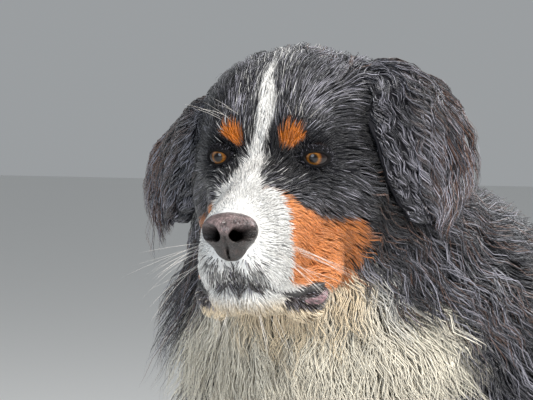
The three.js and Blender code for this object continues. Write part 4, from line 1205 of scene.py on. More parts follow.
def mesh_loops(mesh: bpy.types.Mesh) -> tuple[Array, Array]:
    """How many corners each face of a mesh has, and the points at them in a row."""
    sizes = np.empty(len(mesh.polygons), np.int32)
    mesh.polygons.foreach_get("loop_total", sizes)
    loops = np.empty(int(sizes.sum()), np.int32)
    mesh.loops.foreach_get("vertex_index", loops)
    return sizes, loops


@dataclass
class Skin:
    """The whole hide as one closed surface: tubes of rays round the dog's lines, made one and settled."""

    voxel: float = 5.6
    points: Array = field(init=False)
    faces: Array = field(init=False)
    triangles: Array = field(init=False)

    def tubes(self) -> list[tuple[Array, list[Array]]]:
        """The closed tubes of the head, trunk, tail, legs and feet, which overlap."""
        out = []
        for region, rows, start, end, limit in (
            (Region.HEAD, 36, True, False, 170.0),
            (Region.NECK, 90, False, True, 260.0),
            (Region.TAIL, 46, False, True, 90.0),
        ):
            stations = fan_stations(rows, START_FAN if start else (), END_FAN if end else ())
            out.append(ray_tube(skin_surface, LINES[region], stations, 72, limit))
        for region, rows in ((Region.FORE_LEG, 54), (Region.HIND_LEG, 64)):
            for side in Side:
                moved = np.array(LINES[region].points, float) * [side.value, 1, 1]
                moved[:, 1] += stagger(moved)
                stations = fan_stations(rows, (), END_FAN)
                out.append(ray_tube(skin_surface, Path(moved.tolist(), FORWARD), stations, 56, 120.0))
        return out

    def toes(self) -> list[tuple[Array, list[Array]]]:
        """Each toe as a short tube along its arch."""
        out = []
        for paw in (FORE_PAW, HIND_PAW):
            for side in Side:
                for aside, back in TOES:
                    knuckle, middle = (aside * 0.7, 4 + back * 0.3, 30), (aside * 0.9, -17 + back, 25)
                    line = Path(paw.world([knuckle, middle, (aside, -38 + back, 13)], side).tolist())
                    stations = fan_stations(8, (), (101, 123, 146, 168))
                    out.append(ray_tube(skin_surface, line, stations, 24, 26.0))
        return out

    def __post_init__(self) -> None:
        """Joins the tubes with a voxel remesh, then relaxes, settles and refines the result on the skin."""
        groups = self.tubes() + self.toes()
        mesh = bpy.data.meshes.new("hide_draft")
        points = np.concatenate([group[0] for group in groups])
        faces, start = [], 0
        for group in groups:
            faces += [tuple(face) for block in group[1] for face in (block + start).tolist()]
            start += len(group[0])
        mesh.from_pydata(points.tolist(), [], faces)
        draft = linked("hide_draft", mesh)
        remesh = draft.modifiers.new("join", "REMESH")
        remesh.mode = "VOXEL"
        remesh.voxel_size = self.voxel
        bpy.context.view_layer.update()
        made = draft.evaluated_get(bpy.context.evaluated_depsgraph_get()).to_mesh()
        self.points = mesh_points(made)
        self.faces = mesh_loops(made)[1].reshape(-1, 4)
        draft.to_mesh_clear()
        bpy.data.objects.remove(draft)
        bpy.data.meshes.remove(mesh)
        self.relax(2)
        self.points, _ = settle(skin_surface, self.points, 2)
        self.refine()
        self.points[:, 2] = np.maximum(self.points[:, 2], SOLE_HEIGHT)
        log.info("hide: %d points, %d faces", len(self.points), len(self.faces))

    def refine(self) -> None:
        """Splits the quads of the dog's face into four and settles the new points."""
        h = HEAD.to_head(self.points)
        face = (h[:, 1] < 22.0) & (np.abs(h[:, 0]) < 72.0) & (h[:, 2] > -128.0) & (h[:, 2] < 42.0)
        mesh = bpy.data.meshes.new("face_draft")
        mesh.from_pydata(self.points.tolist(), [], self.faces.tolist())
        work = bmesh.new()
        work.from_mesh(mesh)
        work.verts.ensure_lookup_table()
        edges = [edge for edge in work.edges if face[edge.verts[0].index] and face[edge.verts[1].index]]
        bmesh.ops.subdivide_edges(work, edges=edges, cuts=1, use_grid_fill=True)
        bmesh.ops.triangulate(work, faces=[one for one in work.faces if len(one.verts) != 4])
        work.to_mesh(mesh)
        work.free()
        self.points = mesh_points(mesh)
        sizes, loops = mesh_loops(mesh)
        starts = np.concatenate([[0], np.cumsum(sizes)[:-1]])
        self.faces = loops[starts[sizes == 4][:, None] + np.arange(4)]
        self.triangles = loops[starts[sizes == 3][:, None] + np.arange(3)]
        bpy.data.meshes.remove(mesh)
        near = (HEAD.to_head(self.points)[:, 1] < 30.0) & (self.points[:, 2] > 560.0)
        self.points[near], _ = settle(skin_surface, self.points[near], 3)

    def relax(self, times: int) -> None:
        """Moves each point towards the mean of its neighbours along the faces' edges."""
        edges = np.concatenate([self.faces[:, [i, (i + 1) % 4]] for i in range(4)])
        for _ in range(times):
            total, count = np.zeros_like(self.points), np.zeros(len(self.points))
            for a, b in (edges.T, edges.T[::-1]):
                for axis in range(3):
                    total[:, axis] += np.bincount(a, self.points[b, axis], len(self.points))
                count += np.bincount(a, minlength=len(self.points))
            self.points = mix(self.points, total / count[:, None], 0.5)

    def scatter(self, count: int, rng: np.random.Generator) -> Array:
        """Points spread evenly over the skin's area."""
        a, b, c, d = (self.points[self.faces[:, i]] for i in range(4))
        corners = np.concatenate([np.stack([a, b, c], axis=1), np.stack([a, c, d], axis=1)])
        area = np.linalg.norm(np.cross(corners[:, 1] - corners[:, 0], corners[:, 2] - corners[:, 0]), axis=1)
        pick = rng.choice(len(corners), count, p=area / area.sum())
        u, v = rng.random(count), rng.random(count)
        flip = u + v > 1
        u[flip], v[flip] = 1 - u[flip], 1 - v[flip]
        t = corners[pick]
        return t[:, 0] + u[:, None] * (t[:, 1] - t[:, 0]) + v[:, None] * (t[:, 2] - t[:, 0])

    def dress(self, material: bpy.types.Material) -> bpy.types.Object:
        """The hide's object, with the markings as its colours darkened as painted shade, standing for every
        part of flesh.
        """
        flesh_parts = ["head", "neck", "torso", "tail"]
        for part in ("leg_front", "leg_hind", "paw_front", "paw_hind"):
            flesh_parts += [f"{part}_{side.word}" for side in Side]
        points = self.points.copy()
        for side in Side:
            points = EYES.open_socket(points, side)
        colours = MARKINGS.colour(self.points)
        # painted shade: the hide under the fur is a darker copy of the coat's colour, at 0.6 on black and 0.85
        # on white
        colours = colours * mix(0.6, 0.85, smoothstep(colours[:, :1], 0.2, 0.6))
        h = HEAD.to_head(self.points)
        colours = mix(colours, Hue.LIP.rgb * 0.7, MARKINGS.lip_corner(h)[:, None])
        # painted shade: near black in the eye sockets behind the eyeballs and under the nose pad, where it
        # shows through the nostrils
        colours[(NOSE.mass(h) < -0.8) | EYES.bare(h)] = Hue.BLACK.rgb * 0.3
        piece = Piece("hide", points, [self.faces, self.triangles], colours)
        piece.values["strand"] = self.points * 0.4
        return piece.build(material, "black_coat", flesh_parts)


class Kind(IntEnum):
    """The kinds of place that the coat's tufts differ by."""

    FACE = 0
    SKULL = 1
    RUFF = 2
    NECK = 3
    CHEST = 4
    TORSO = 5
    UPPER_LEG = 6
    LOWER_LEG = 7
    TAIL = 8


@dataclass(frozen=True)
class Growth:
    """How the tufts of one kind of place are made.

    Spacing and width are in millimetres; rings is how many triangles of points each tuft has before its tip;
    gather is how far tips are drawn to their clump's middle line; clump is a clump's size; wave is how far
    a lock swings aside and wave_length how long a full swing is; stray is how far single tufts lean; ragged
    is how far locks carry their colour over the markings' edges; and browned says that some tips are brown.
    """

    spacing: float
    width: float
    rings: int
    clump: float
    gather: float
    wave: float = 0.0
    wave_length: float = 50.0
    stray: float = 0.12
    ragged: float = 0.0
    browned: bool = False


GROWTHS: dict[Kind, Growth] = {
    Kind.FACE: Growth(1.5, 0.8, 2, 6, 0.1, stray=0.07),
    Kind.SKULL: Growth(2.0, 0.95, 3, 9, 0.22, stray=0.08),
    Kind.RUFF: Growth(3.4, 1.35, 6, 13, 0.6, 5.2, 32, ragged=5.0, browned=True),
    Kind.NECK: Growth(5.0, 2.0, 7, 18, 0.66, 7.2, 40, ragged=7.0, browned=True),
    Kind.CHEST: Growth(5.0, 2.1, 7, 19, 0.48, 4.5, 46, ragged=7.0),
    Kind.TORSO: Growth(7.4, 3.7, 3, 27, 0.38, 3.0, 70, ragged=6.0, browned=True),
    Kind.UPPER_LEG: Growth(7.0, 3.0, 3, 18, 0.4, 1.5, 60, ragged=5.0),
    Kind.LOWER_LEG: Growth(4.4, 2.1, 2, 9, 0.2, ragged=3.0),
    Kind.TAIL: Growth(5.2, 2.8, 4, 26, 0.42, 5.0, 60, ragged=8.0, browned=True),
}


RUFF = Lobe((-82.0, 82.0, -104.0), (46.0, 46.0, 46.0))
"""Where the far side's ruff stands out behind the jaw, in the head's frame."""


def growth_of(p: Array, region: Array, coat: Array) -> Array:
    """Which kind of growth each point has, from its region, its hair's length and its place."""
    h = HEAD.to_head(p)
    hair = coat[:, 1]
    out = np.full(len(p), Kind.TORSO.value)
    head = region == Region.HEAD.value
    out[head] = np.where(hair[head] < 13.5, Kind.FACE, np.where(hair[head] < 30.0, Kind.SKULL, Kind.RUFF))
    neck = region == Region.NECK.value
    out[neck] = Kind.NECK
    chest = (p[:, 1] < -230.0) & (p[:, 2] < 640.0) & (np.abs(p[:, 0]) < 135.0)
    out[(neck | (region == Region.TORSO.value)) & chest] = Kind.CHEST
    out[neck & (h[:, 1] < 95.0) & (h[:, 2] < -40.0)] = Kind.RUFF
    out[(head | neck) & (h[:, 1] < 36.0) & (h[:, 2] > -112.0) & (out > Kind.SKULL)] = Kind.SKULL
    legs = (region == Region.FORE_LEG.value) | (region == Region.HIND_LEG.value)
    out[legs] = np.where(hair[legs] < 30.0, Kind.LOWER_LEG, Kind.UPPER_LEG)
    out[legs & (p[:, 2] > 330.0)] = Kind.TORSO
    out[region == Region.TAIL.value] = Kind.TAIL
    return out


def thin(p: Array, kind: Array, spacing: Array, rng: np.random.Generator) -> Array:
    """Picks one point of those that share a cube as wide as their kind's spacing.

    Args:
        p: N points in random order.
        kind: the kind of each.
        spacing: the spacing of each.
        rng: moves the cubes' corners.

    Returns:
        The indices of the points to keep.
    """
    cell = np.floor(p / spacing[:, None] + rng.random(3)).astype(np.int64) + 4096
    key = ((kind * 8192 + cell[:, 0]) * 8192 + cell[:, 1]) * 8192 + cell[:, 2]
    return np.unique(key, return_index=True)[1]


@dataclass
class Tufts:
    """Many tufts: paths of places from root to tip, with the width and colours of each."""

    path: Array
    normal: Array
    width: Array
    root_colour: Array
    tip_colour: Array
    share: Array
    turn: Array

    def mesh(self, name: str) -> Piece:
        """All tufts as one mesh of closed three-sided spikes.

        Along a path of K places, the first K - 1 carry a ring of three points: two aside by the width,
        one over the path by 0.3 of it. The width's share at t is (1 - t^1.7) at the ring, wider at 0.25
        than at the root. The last place is the tip.

        Args:
            name: the piece's name.

        Returns:
            The piece with its colours and its OFBake map.
        """
        count, places = self.path.shape[:2]
        rings = places - 1
        along = unit(np.gradient(self.path, axis=1))
        across = unit(np.cross(along, self.normal))
        over = np.cross(across, along)
        t = np.arange(rings) / (places - 1)
        share = (0.6 + 0.4 * np.minimum(t / 0.25, 1.0)) * (1.0 - t**1.7)
        half = self.width[:, None] * share[None] * 0.5
        ring = np.stack(
            [
                self.path[:, :rings] - across[:, :rings] * half[..., None],
                self.path[:, :rings] + across[:, :rings] * half[..., None],
                self.path[:, :rings] + over[:, :rings] * half[..., None] * 0.6,
            ],
            axis=2,
        ).reshape(count, rings * 3, 3)
        points = np.concatenate([ring, self.path[:, -1:]], axis=1)
        size = rings * 3 + 1
        quads, quad_uv = [], []
        for r in range(rings - 1):
            for c in range(3):
                n = (c + 1) % 3
                quads.append([r * 3 + n, r * 3 + c, (r + 1) * 3 + c, (r + 1) * 3 + n])
                quad_uv.append([(c + 1, r), (c, r), (c, r + 1), (c + 1, r + 1)])
        last = (rings - 1) * 3
        tris = [[last + (c + 1) % 3, last + c, size - 1] for c in range(3)] + [[0, 1, 2]]
        tri_uv = [[(c + 1, rings - 1), (c, rings - 1), (c + 0.5, rings)] for c in range(3)]
        tri_uv.append([(0, 0), (2, 0), (1, 0.6)])
        base = (np.arange(count) * size)[:, None, None]
        faces = [(np.array(tris)[None] + base).reshape(-1, 3)]
        patch = np.stack([self.share, self.turn], axis=1)[:, None, None, :] * 0.994 + 0.0015
        scale = 0.003 * np.array([1 / 3, 1 / rings])
        uv = [(np.array(tri_uv)[None] * scale + patch).reshape(-1, 2)]
        if quads:
            faces.insert(0, (np.array(quads)[None] + base).reshape(-1, 4))
            uv.insert(0, (np.array(quad_uv)[None] * scale + patch).reshape(-1, 2))
        ring_t = np.concatenate([np.repeat(t, 3), [1.0]])[None, :, None]
        tone = mix(self.root_colour[:, None], self.tip_colour[:, None], ring_t**0.8)
        seed = np.random.default_rng(count).uniform(0, 90, count)[:, None]
        across_share = np.concatenate([np.tile([0.0, 1.0, 0.5], rings), [0.5]])[None]
        strand = np.stack(
            [
                seed + across_share * self.width[:, None],
                np.broadcast_to(ring_t[..., 0], (count, size)) * 1.5,
                np.broadcast_to(seed, (count, size)),
            ],
            axis=2,
        )
        values = {"strand": strand.reshape(-1, 3)}
        return Piece(name, points.reshape(-1, 3), faces, tone.reshape(-1, 3), values, np.concatenate(uv))


@dataclass
class CoatGrower:
    """Grows the coat of the whole skin and parts it into pieces."""

    skin: Skin
    seed: int = 11
    candidates: int = 900000

    def roots(self) -> tuple[Array, Array, Array]:
        """Root places on the skin, with their region and kind of growth."""
        rng = np.random.default_rng(self.seed)
        p = self.skin.scatter(self.candidates, rng)
        region = regions(p)
        coat = COAT.near(p)
        kind = growth_of(p, region, coat)
        spacing = np.array([GROWTHS[one].spacing for one in Kind])[kind]
        keep = thin(p, kind, spacing, rng)
        keep = keep[~FEATURES.bare(p[keep])]
        return p[keep], region[keep], kind[keep]

    def comb(self, root: Array, kind: Kind, rng: np.random.Generator) -> Tufts:
        """Combs tufts of one kind: each place follows the coat's lie, at a height over the skin.

        The height at share t of a tuft is depth times (1 - (1 - t)^2). The lie is made tangent to the skin
        and swung by slow noise. A clump's tufts bend to the mean of their paths by gather times t^1.3, and
        swing aside by wave times the sine of their length over the wave length.

        Args:
            root: N points on the skin.
            kind: their kind of growth.
            rng: the random draws.

        Returns:
            The tufts.
        """
        g = GROWTHS[kind]
        count = len(root)
        coat = COAT.near(root)
        clump = np.floor(root / g.clump + rng.random(3)).astype(np.int64)
        cell = (clump[:, 0] * 4096 + clump[:, 1]) * 4096 + clump[:, 2]
        key = np.unique(cell, return_inverse=True)[1].ravel()
        groups = key.max() + 1
        short = 1.0 - smoothstep(coat[:, 1], 12.0, 40.0)
        vary = mix(0.15, 0.06, short)
        length = coat[:, 1] * (1 + rng.uniform(-1, 1, count) * vary)
        length = length * (1 + rng.uniform(-1, 1, groups)[key] * vary)
        length = np.minimum(length, FEATURES.room(root))
        depth = coat[:, 0] * rng.uniform(0.72, 1.0, count) * (1 + rng.uniform(-0.8, 0.4, groups)[key] * vary)
        full = np.exp(-((HEAD.to_head(root) - np.array(RUFF.centre)) ** 2).sum(axis=1) / RUFF.radii[0] ** 2)
        length = length * (1.0 + 0.35 * full)
        depth = np.minimum(depth * mix(1.0, 0.52, short) * (1.0 + 1.6 * full), length * (0.45 + 0.3 * full))
        swing = noise(root, 90.0, 21) * mix(0.28, 0.1, short)
        swing += rng.normal(0, 0.1, groups)[key] * mix(1.0, 0.4, short) + rng.normal(0, g.stray, count)
        phase = rng.uniform(0, FULL_TURN, groups)[key]
        p, n = root, slope(skin_surface, root)
        places, normals = [root - n], [n]
        for k in range(1, g.rings + 1):
            t = k / g.rings
            lie = FEATURES.part(p, unit(COAT.near(p)[:, 2:]))
            lie = unit(lie - n * (lie * n).sum(axis=1)[:, None])
            aside = np.cross(n, lie)
            lie = unit(lie + aside * swing[:, None])
            p = p + lie * (length / g.rings)[:, None]
            n = slope(skin_surface, p)
            height = depth * (1.0 - (1.0 - t) ** 2)
            p = p + n * (height - skin_surface(p))[:, None]
            turn = length * t / g.wave_length * 2 * math.pi + phase
            swung = g.wave * min(1.0, 1.6 * t)
            out = p + aside * (np.sin(turn) * swung)[:, None] + n * (np.cos(turn) * swung * 0.35)[:, None]
            out[:, 2] = np.maximum(out[:, 2], 1.5)
            places.append(out)
            normals.append(n)
        path = gathered(np.stack(places, axis=1), key, g.gather)
        ragged = rng.normal(0, 1.0, (groups, 3))[key] * g.ragged
        colour = MARKINGS.tuft_colour(path_at(path, 0.55) + ragged, rng)
        pale = smoothstep(colour[:, 0], 0.05, 0.4)
        shade = (1 + rng.uniform(-1, 1, count) * mix(0.4, 0.09, pale))
        shade *= 1 + rng.uniform(-1, 1, groups)[key] * mix(0.35, 0.06, pale)
        # painted shade: each tuft is darker at its root and lighter at its tip, far more so on black than on
        # white
        root_colour = colour * (mix(0.42, 0.93, pale) * shade)[:, None]
        tip_colour = colour * (mix(1.3, 1.05, pale) * shade)[:, None]
        # painted highlight: some black tufts get pale grey tips for glints of light, more in whole locks,
        # fewer where shade is painted and fewer towards the back
        dark = 1.0 - smoothstep(colour[:, 0], 0.03, 0.08)
        draw = rng.random(count)
        lit = 1.0 - MARKINGS.gloom(path_at(path, 0.55))
        lock = rng.random(groups)[key]
        fore = 1.0 - smoothstep(root[:, 1], -360.0, -180.0)
        often = (0.12 + 0.46 * lock**2) * lit * mix(0.3, 1.0, fore)
        painted_glint = (draw < often) * rng.uniform(0.2, 0.95, count) * dark
        painted_glint *= mix(0.5, 1.0, fore)
        brown = (draw > 0.86) * dark * g.browned
        tip_colour = mix(tip_colour, Hue.FROST.rgb, painted_glint[:, None])
        tip_colour = mix(tip_colour, Hue.BROWN.rgb, (brown * 0.7)[:, None])
        width = g.width * rng.uniform(0.8, 1.2, count)
        empty = np.zeros(count)
        return Tufts(path, np.stack(normals, axis=1), width, root_colour, tip_colour, empty, empty)

    def grow(self, material: bpy.types.Material) -> None:
        """Makes the coat's pieces, one for each region and side."""
        root, region, kind = self.roots()
        rng = np.random.default_rng(self.seed + 1)
        legs = (Region.FORE_LEG, Region.HIND_LEG)
        total = 0
        for place in Region:
            for side in Side:
                here = (region == place.value) & (np.where(root[:, 0] > 0, 1, -1) == side.value)
                batches = []
                for one in np.unique(kind[here]):
                    pick = here & (kind == one)
                    tufts = self.comb(root[pick], Kind(one), rng)
                    q = root[pick] * [side.value if place in legs else 1, 1, 1]
                    tufts.share, tufts.turn = LINES[place].nearest(q)
                    batches.append(tufts)
                pieces = [batch.mesh("draft") for batch in batches]
                name = f"coat_{place.name.lower()}_{side.word}"
                made = join(name, pieces)
                triangles = sum(len(f) * (f.shape[1] - 2) for f in made.faces)
                total += triangles
                log.info("%s: %d triangles", name, triangles)
                made.build(material, "rust_coat" if place in legs else "black_coat")
        log.info("coat: %d triangles in all", total)


def gathered(path: Array, key: Array, amount: float) -> Array:
    """Draws tufts together: place k of K goes to the mean of its clump by amount times (k/K)^1.3.

    Args:
        path: N paths of K + 1 places.
        key: the number of each path's clump.
        amount: the share of the way at the tips.

    Returns:
        The paths.
    """
    groups, steps = key.max() + 1, path.shape[1] - 1
    members = np.bincount(key, minlength=groups).astype(float)
    for k in range(1, steps + 1):
        mean = np.stack([np.bincount(key, path[:, k, i], groups) / members for i in range(3)], axis=1)
        path[:, k] = mix(path[:, k], mean[key], amount * (k / steps) ** 1.3)
    return path


def path_at(path: Array, share: float) -> Array:
    """The place at a share of each path of evenly timed places."""
    at = share * (path.shape[1] - 1)
    i = min(int(at), path.shape[1] - 2)
    return mix(path[:, i], path[:, i + 1], at - i)


def join(name: str, pieces: Sequence[Piece]) -> Piece:
    """Several pieces as one, with the quads and triangles of each in the order of their maps."""
    points, faces, uv, start = [], [], [], 0
    for piece in pieces:
        points.append(piece.points)
        faces += [block + start for block in piece.faces]
        start += len(piece.points)
        if piece.uv is not None:
            uv.append(piece.uv)
    colours = np.concatenate([piece.colours for piece in pieces]) if pieces[0].colours is not None else None
    values = {key: np.concatenate([piece.values[key] for piece in pieces]) for key in pieces[0].values}
    return Piece(name, np.concatenate(points), faces, colours, values, np.concatenate(uv) if uv else None)


@dataclass(frozen=True)
class Eyes:
    """Eyeballs with their lids: angles are in degrees round each eye, outwards and upwards from its gaze.

    Near is how far from an eye's middle its opening can be, and sunk where the hide is drawn in to there.
    """

    corner: float = 50.0
    upper: float = 25.0
    lower: float = 25.0
    droop: float = 0.08
    gaze: float = 6.0
    around: int = 72
    hairs: int = 620
    near: float = 24.0
    sunk: float = 8.0
    rim: tuple[tuple[float, float, float], ...] = (
        # how far out as a share of the opening, least distance from the eye's middle, depth under the hide
        (0.9, 11.4, FAR),
        (0.95, 12.6, FAR),
        (0.975, 13.2, FAR),
        (1.04, 13.6, FAR),
        (1.12, 13.7, 2.0),
        (1.25, 13.6, 0.8),
        (1.4, 13.3, 0.3),
        (1.6, 13.1, 0.3),
        (1.85, 13.0, 0.8),
        (2.15, 12.9, 2.0),
        (2.45, 11.5, 4.0),
    )

    def centre(self, side: Side) -> Array:
        """The eye's middle in the head's frame."""
        return np.array(EYE_CENTRE) * [side.value, 1, 1]

    def ray(self, side: Side, out: Array, up: Array) -> Array:
        """Directions in the head's frame, turned out and up from the gaze."""
        turn, rise = np.radians(EYE_SPREAD + out), np.radians(up)
        return np.stack(
            [np.sin(turn) * np.cos(rise) * side.value, -np.cos(turn) * np.cos(rise), np.sin(rise)], axis=-1
        )

    def opening(self, turn: Array, wide: float = 1.0) -> tuple[Array, Array]:
        """The lids' edge at each turn round the eye, as angles out and up, made wider by a factor."""
        out = np.cos(turn) * self.corner
        high = np.where(np.sin(turn) > 0, self.upper, self.lower)
        up = np.sign(np.sin(turn)) * np.abs(np.sin(turn)) ** 1.2 * high - out * self.droop
        return out * wide, up * wide

    def share(self, h: Array, side: Side) -> tuple[Array, Array]:
        """How far points are from an eye's middle, and how far out of its gaze: 1 on the lids' edge."""
        off = h - self.centre(side)
        far = np.linalg.norm(off, axis=1)
        v = off / np.maximum(far, 1e-6)[:, None]
        up = np.degrees(np.arcsin(np.clip(v[:, 2], -1, 1)))
        out = np.degrees(np.arctan2(v[:, 0] * side.value, -v[:, 1])) - EYE_SPREAD
        out = (out + 180.0) % 360.0 - 180.0
        up = up + out * self.droop
        high = np.where(up > 0, self.upper, self.lower)
        return far, np.hypot(out / self.corner, up / high)

    def open_socket(self, p: Array, side: Side) -> Array:
        """Draws the hide in behind the eyeball where the lids are open."""
        h = HEAD.to_head(p)
        far, share = self.share(h, side)
        inside = (far < self.near) & (share < 1.3)
        drawn = (self.sunk / np.maximum(far[inside], 1.0))[:, None]
        h[inside] = self.centre(side) + (h[inside] - self.centre(side)) * drawn
        return HEAD.to_body(h)

    def ball(self, side: Side) -> Piece:
        """The eyeball: rings about the gaze, with the cornea swelling 0.6 mm over the iris."""
        rings, around, last = 60, 64, 118.0
        angle = np.radians(np.linspace(0.5, last, rings))
        turn = np.linspace(0, FULL_TURN, around, endpoint=False)
        gaze = self.ray(side, np.array([self.gaze - EYE_SPREAD]), np.array([3.0]))[0]
        across = unit(np.cross(gaze, UP))
        over = np.cross(across, gaze)
        radius = EYE_RADIUS + 0.6 * (1.0 - smoothstep(np.degrees(angle), 10.0, 40.0))
        round_ = across * np.cos(turn)[:, None] + over * np.sin(turn)[:, None]
        v = gaze * np.cos(angle)[:, None, None] + round_[None] * np.sin(angle)[:, None, None]
        grid = HEAD.to_body((self.centre(side) + v * radius[:, None, None]).reshape(-1, 3))
        points, faces = capped_grid(grid.reshape(rings, around, 3))
        piece = Piece(f"eyeball_{side.word}", points, faces)
        degrees = np.concatenate([np.repeat(np.degrees(angle), around), [0.0, last]])
        parts = [np.concatenate([np.tile(way(turn), rings), [0, 0]]) for way in (np.cos, np.sin)]
        piece.values["gaze_angle"] = degrees
        piece.values["gaze_turn"] = np.stack([*parts, degrees / 90.0], axis=1)
        return piece

    def raised(self, side: Side, turn: Array, wide: Array) -> Array:
        """Places on the lids in the head's frame: on the ball at the rim, and by the hide further out."""
        rows = np.array(self.rim)
        radius, sunk = (np.interp(wide, rows[:, 0], rows[:, i]) for i in (1, 2))
        v = self.ray(side, *self.opening(turn, wide))
        origin = HEAD.to_body(np.repeat(self.centre(side)[None], len(turn), axis=0))
        reach = ray_reach(skin_surface, origin, HEAD.turned(v), 22.0, 1.0)
        return self.centre(side) + v * np.maximum(radius, np.minimum(reach, 20.0) - sunk)[:, None]

    def lids(self, side: Side) -> Piece:
        """Both lids as one ring: a rounded black rim on the eyeball that runs out into the hide."""
        turn = np.linspace(0, FULL_TURN, self.around, endpoint=False)
        rows = [self.raised(side, turn, np.full(len(turn), row[0])) for row in self.rim]
        points = HEAD.to_body(np.concatenate(rows))
        faces = grid_faces(len(rows), len(turn))
        if side is Side.LEFT:
            faces = faces[:, ::-1]
        black = (0.005, 0.0045, 0.0045)
        return Piece(f"lids_{side.word}", points, [faces], np.tile(black, (len(points), 1)))

    def lashes(self, side: Side, rng: np.random.Generator) -> Piece:
        """The short hair of the lids: from the rim outwards, a little raised towards its tips."""
        count = self.hairs
        turn = rng.uniform(0, FULL_TURN, count)
        wide = 1.1 + 1.1 * rng.random(count)
        step = rng.uniform(0.22, 0.42, count)
        lean = rng.normal(0, 0.06, count) + 0.05 * np.cos(turn)
        places = []
        for t in (0.0, 0.35, 0.7, 1.0):
            p = self.raised(side, turn + lean * t, wide + step * t)
            off = unit(p - self.centre(side))
            places.append(HEAD.to_body(p + off * (1.3 * math.sin(t * 2.2) - 0.25)))
        path = np.stack(places, axis=1)
        middle = HEAD.to_body(self.centre(side)[None])
        normal = np.repeat(unit(path[:, :1] - middle[:, None]), 4, axis=1)
        colour = np.tile(Hue.BLACK.rgb, (count, 1)) * rng.uniform(0.25, 1.1, (count, 1))
        # painted highlight: pale grey tips on a few lashes for glints of light
        tip = mix(colour, Hue.FROST.rgb * 0.5, (rng.random(count) < 0.12)[:, None] * 0.8)
        share = turn / FULL_TURN
        # painted shade: the lashes' roots at half their colour
        tufts = Tufts(path, normal, rng.uniform(0.6, 0.9, count), colour * 0.5, tip, share, wide - 1.1)
        return tufts.mesh(f"lashes_{side.word}")

    def bare(self, h: Array) -> Array:
        """Where no fur grows: the lids' rims and the opening."""
        out = np.zeros(len(h), bool)
        for side in Side:
            far, share = self.share(h, side)
            out |= (far < self.near) & (share < 1.5)
        return out


EYES = Eyes()


def ball_grid(rows: int, columns: int) -> tuple[Array, Array]:
    """Angles down from the top and round, for a rounded form without its two poles."""
    down = np.linspace(0, math.pi, rows + 2)[1:-1]
    turn = np.linspace(0, FULL_TURN, columns, endpoint=False)
    return down, turn


@dataclass(frozen=True)
class Nose:
    """The nose pad: rounded masses melted together, with the nostrils and the groove cut in."""

    centre: Vec = (0.0, -104.0, -41.0)
    lobes: tuple[Lobe, ...] = (
        Lobe((0, -103, -34), (16, 15, 12.5)),
        Lobe((0, -101, -48), (13.5, 11.5, 12.5)),
        Lobe((12, -102, -36), (10.5, 12.5, 11)),
        Lobe((-12, -102, -36), (10.5, 12.5, 11)),
    )
    nostrils: tuple[tuple[Vec, float], ...] = (
        ((7.5, -128.0, -35.5), 4.8),
        ((8.5, -113.0, -37.0), 4.8),
        ((11.0, -107.0, -38.5), 3.0),
    )
    slits: tuple[tuple[Vec, float], ...] = (
        ((9.0, -122.0, -41.0), 2.8),
        ((16.0, -117.0, -42.0), 2.4),
        ((22.0, -109.0, -39.5), 1.5),
    )
    groove: tuple[Vec, ...] = ((0, -118, -38), (0, -113.6, -47.5), (0, -111.2, -55), (0, -105, -61.5))
    groove_radius: float = 1.7

    def mass(self, h: Array) -> Array:
        """How far points are outside the uncut pad."""
        d = np.full(len(h), FAR)
        for lobe in self.lobes:
            d = melt(d, lobe.distance(h), 7.0)
        return d

    def cut(self, h: Array) -> Array:
        """How far points are outside what is cut: both nostrils with their slits, and the groove."""
        left = folded(h)
        d = np.full(len(h), FAR)
        for chain in (self.nostrils, self.slits):
            for (a, ra), (b, rb) in zip(chain, chain[1:]):
                d = melt(d, Limb(a, b, ra, rb).distance(left), 2.0)
        return np.minimum(d, bars(self.groove, [self.groove_radius] * len(self.groove), h))

    def surface(self, h: Array) -> Array:
        """How far points are outside the pad."""
        return -melt(-self.mass(h), self.cut(h), 0.9)

    def mesh(self) -> Piece:
        """The pad, by rays from its middle to where the field ends.

        Its colours are mottled, dark in front, and pale above as a painted reflection of light from above. In
        the nostrils depth is 1 and it is near black as painted shade.
        """
        down, turn = ball_grid(150, 200)
        v = np.stack(
            [
                np.sin(down)[:, None] * np.cos(turn)[None],
                np.sin(down)[:, None] * np.sin(turn)[None],
                np.repeat(np.cos(down)[:, None], len(turn), axis=1),
            ],
            axis=2,
        )[::-1]
        ray = v.reshape(-1, 3)
        origin = np.repeat(np.array([self.centre]), len(ray), axis=0)
        reach = ray_reach(self.surface, origin, ray, 34.0, 1.0)
        grid = origin + ray * reach[:, None]
        points, faces = capped_grid(HEAD.to_body(grid).reshape(len(down), len(turn), 3))
        piece = Piece("nose_pad", points, faces)
        h = HEAD.to_head(points)
        depth = smoothstep(-self.mass(h), 0.4, 1.6)
        # painted reflection: the pad's top is made far paler, as light from above would show on it
        top = smoothstep(h[:, 2] - 0.18 * (h[:, 1] + 104.0), -37.0, -25.0)
        tone = mix(np.array([0.46, 0.37, 0.34]), np.array([3.3, 3.0, 3.2]), top[:, None])
        tone *= (0.86 + 0.3 * noise(h, 2.4, 17) + 0.3 * noise(h, 9.0, 18))[:, None]
        # painted shade: near black in the nostrils
        piece.colours = tone * (1.0 - 0.98 * depth)[:, None]
        piece.values["depth"] = depth
        return piece

    def bare(self, h: Array) -> Array:
        """Where the pad covers the hide."""
        return self.mass(h) < 2.0


NOSE = Nose()


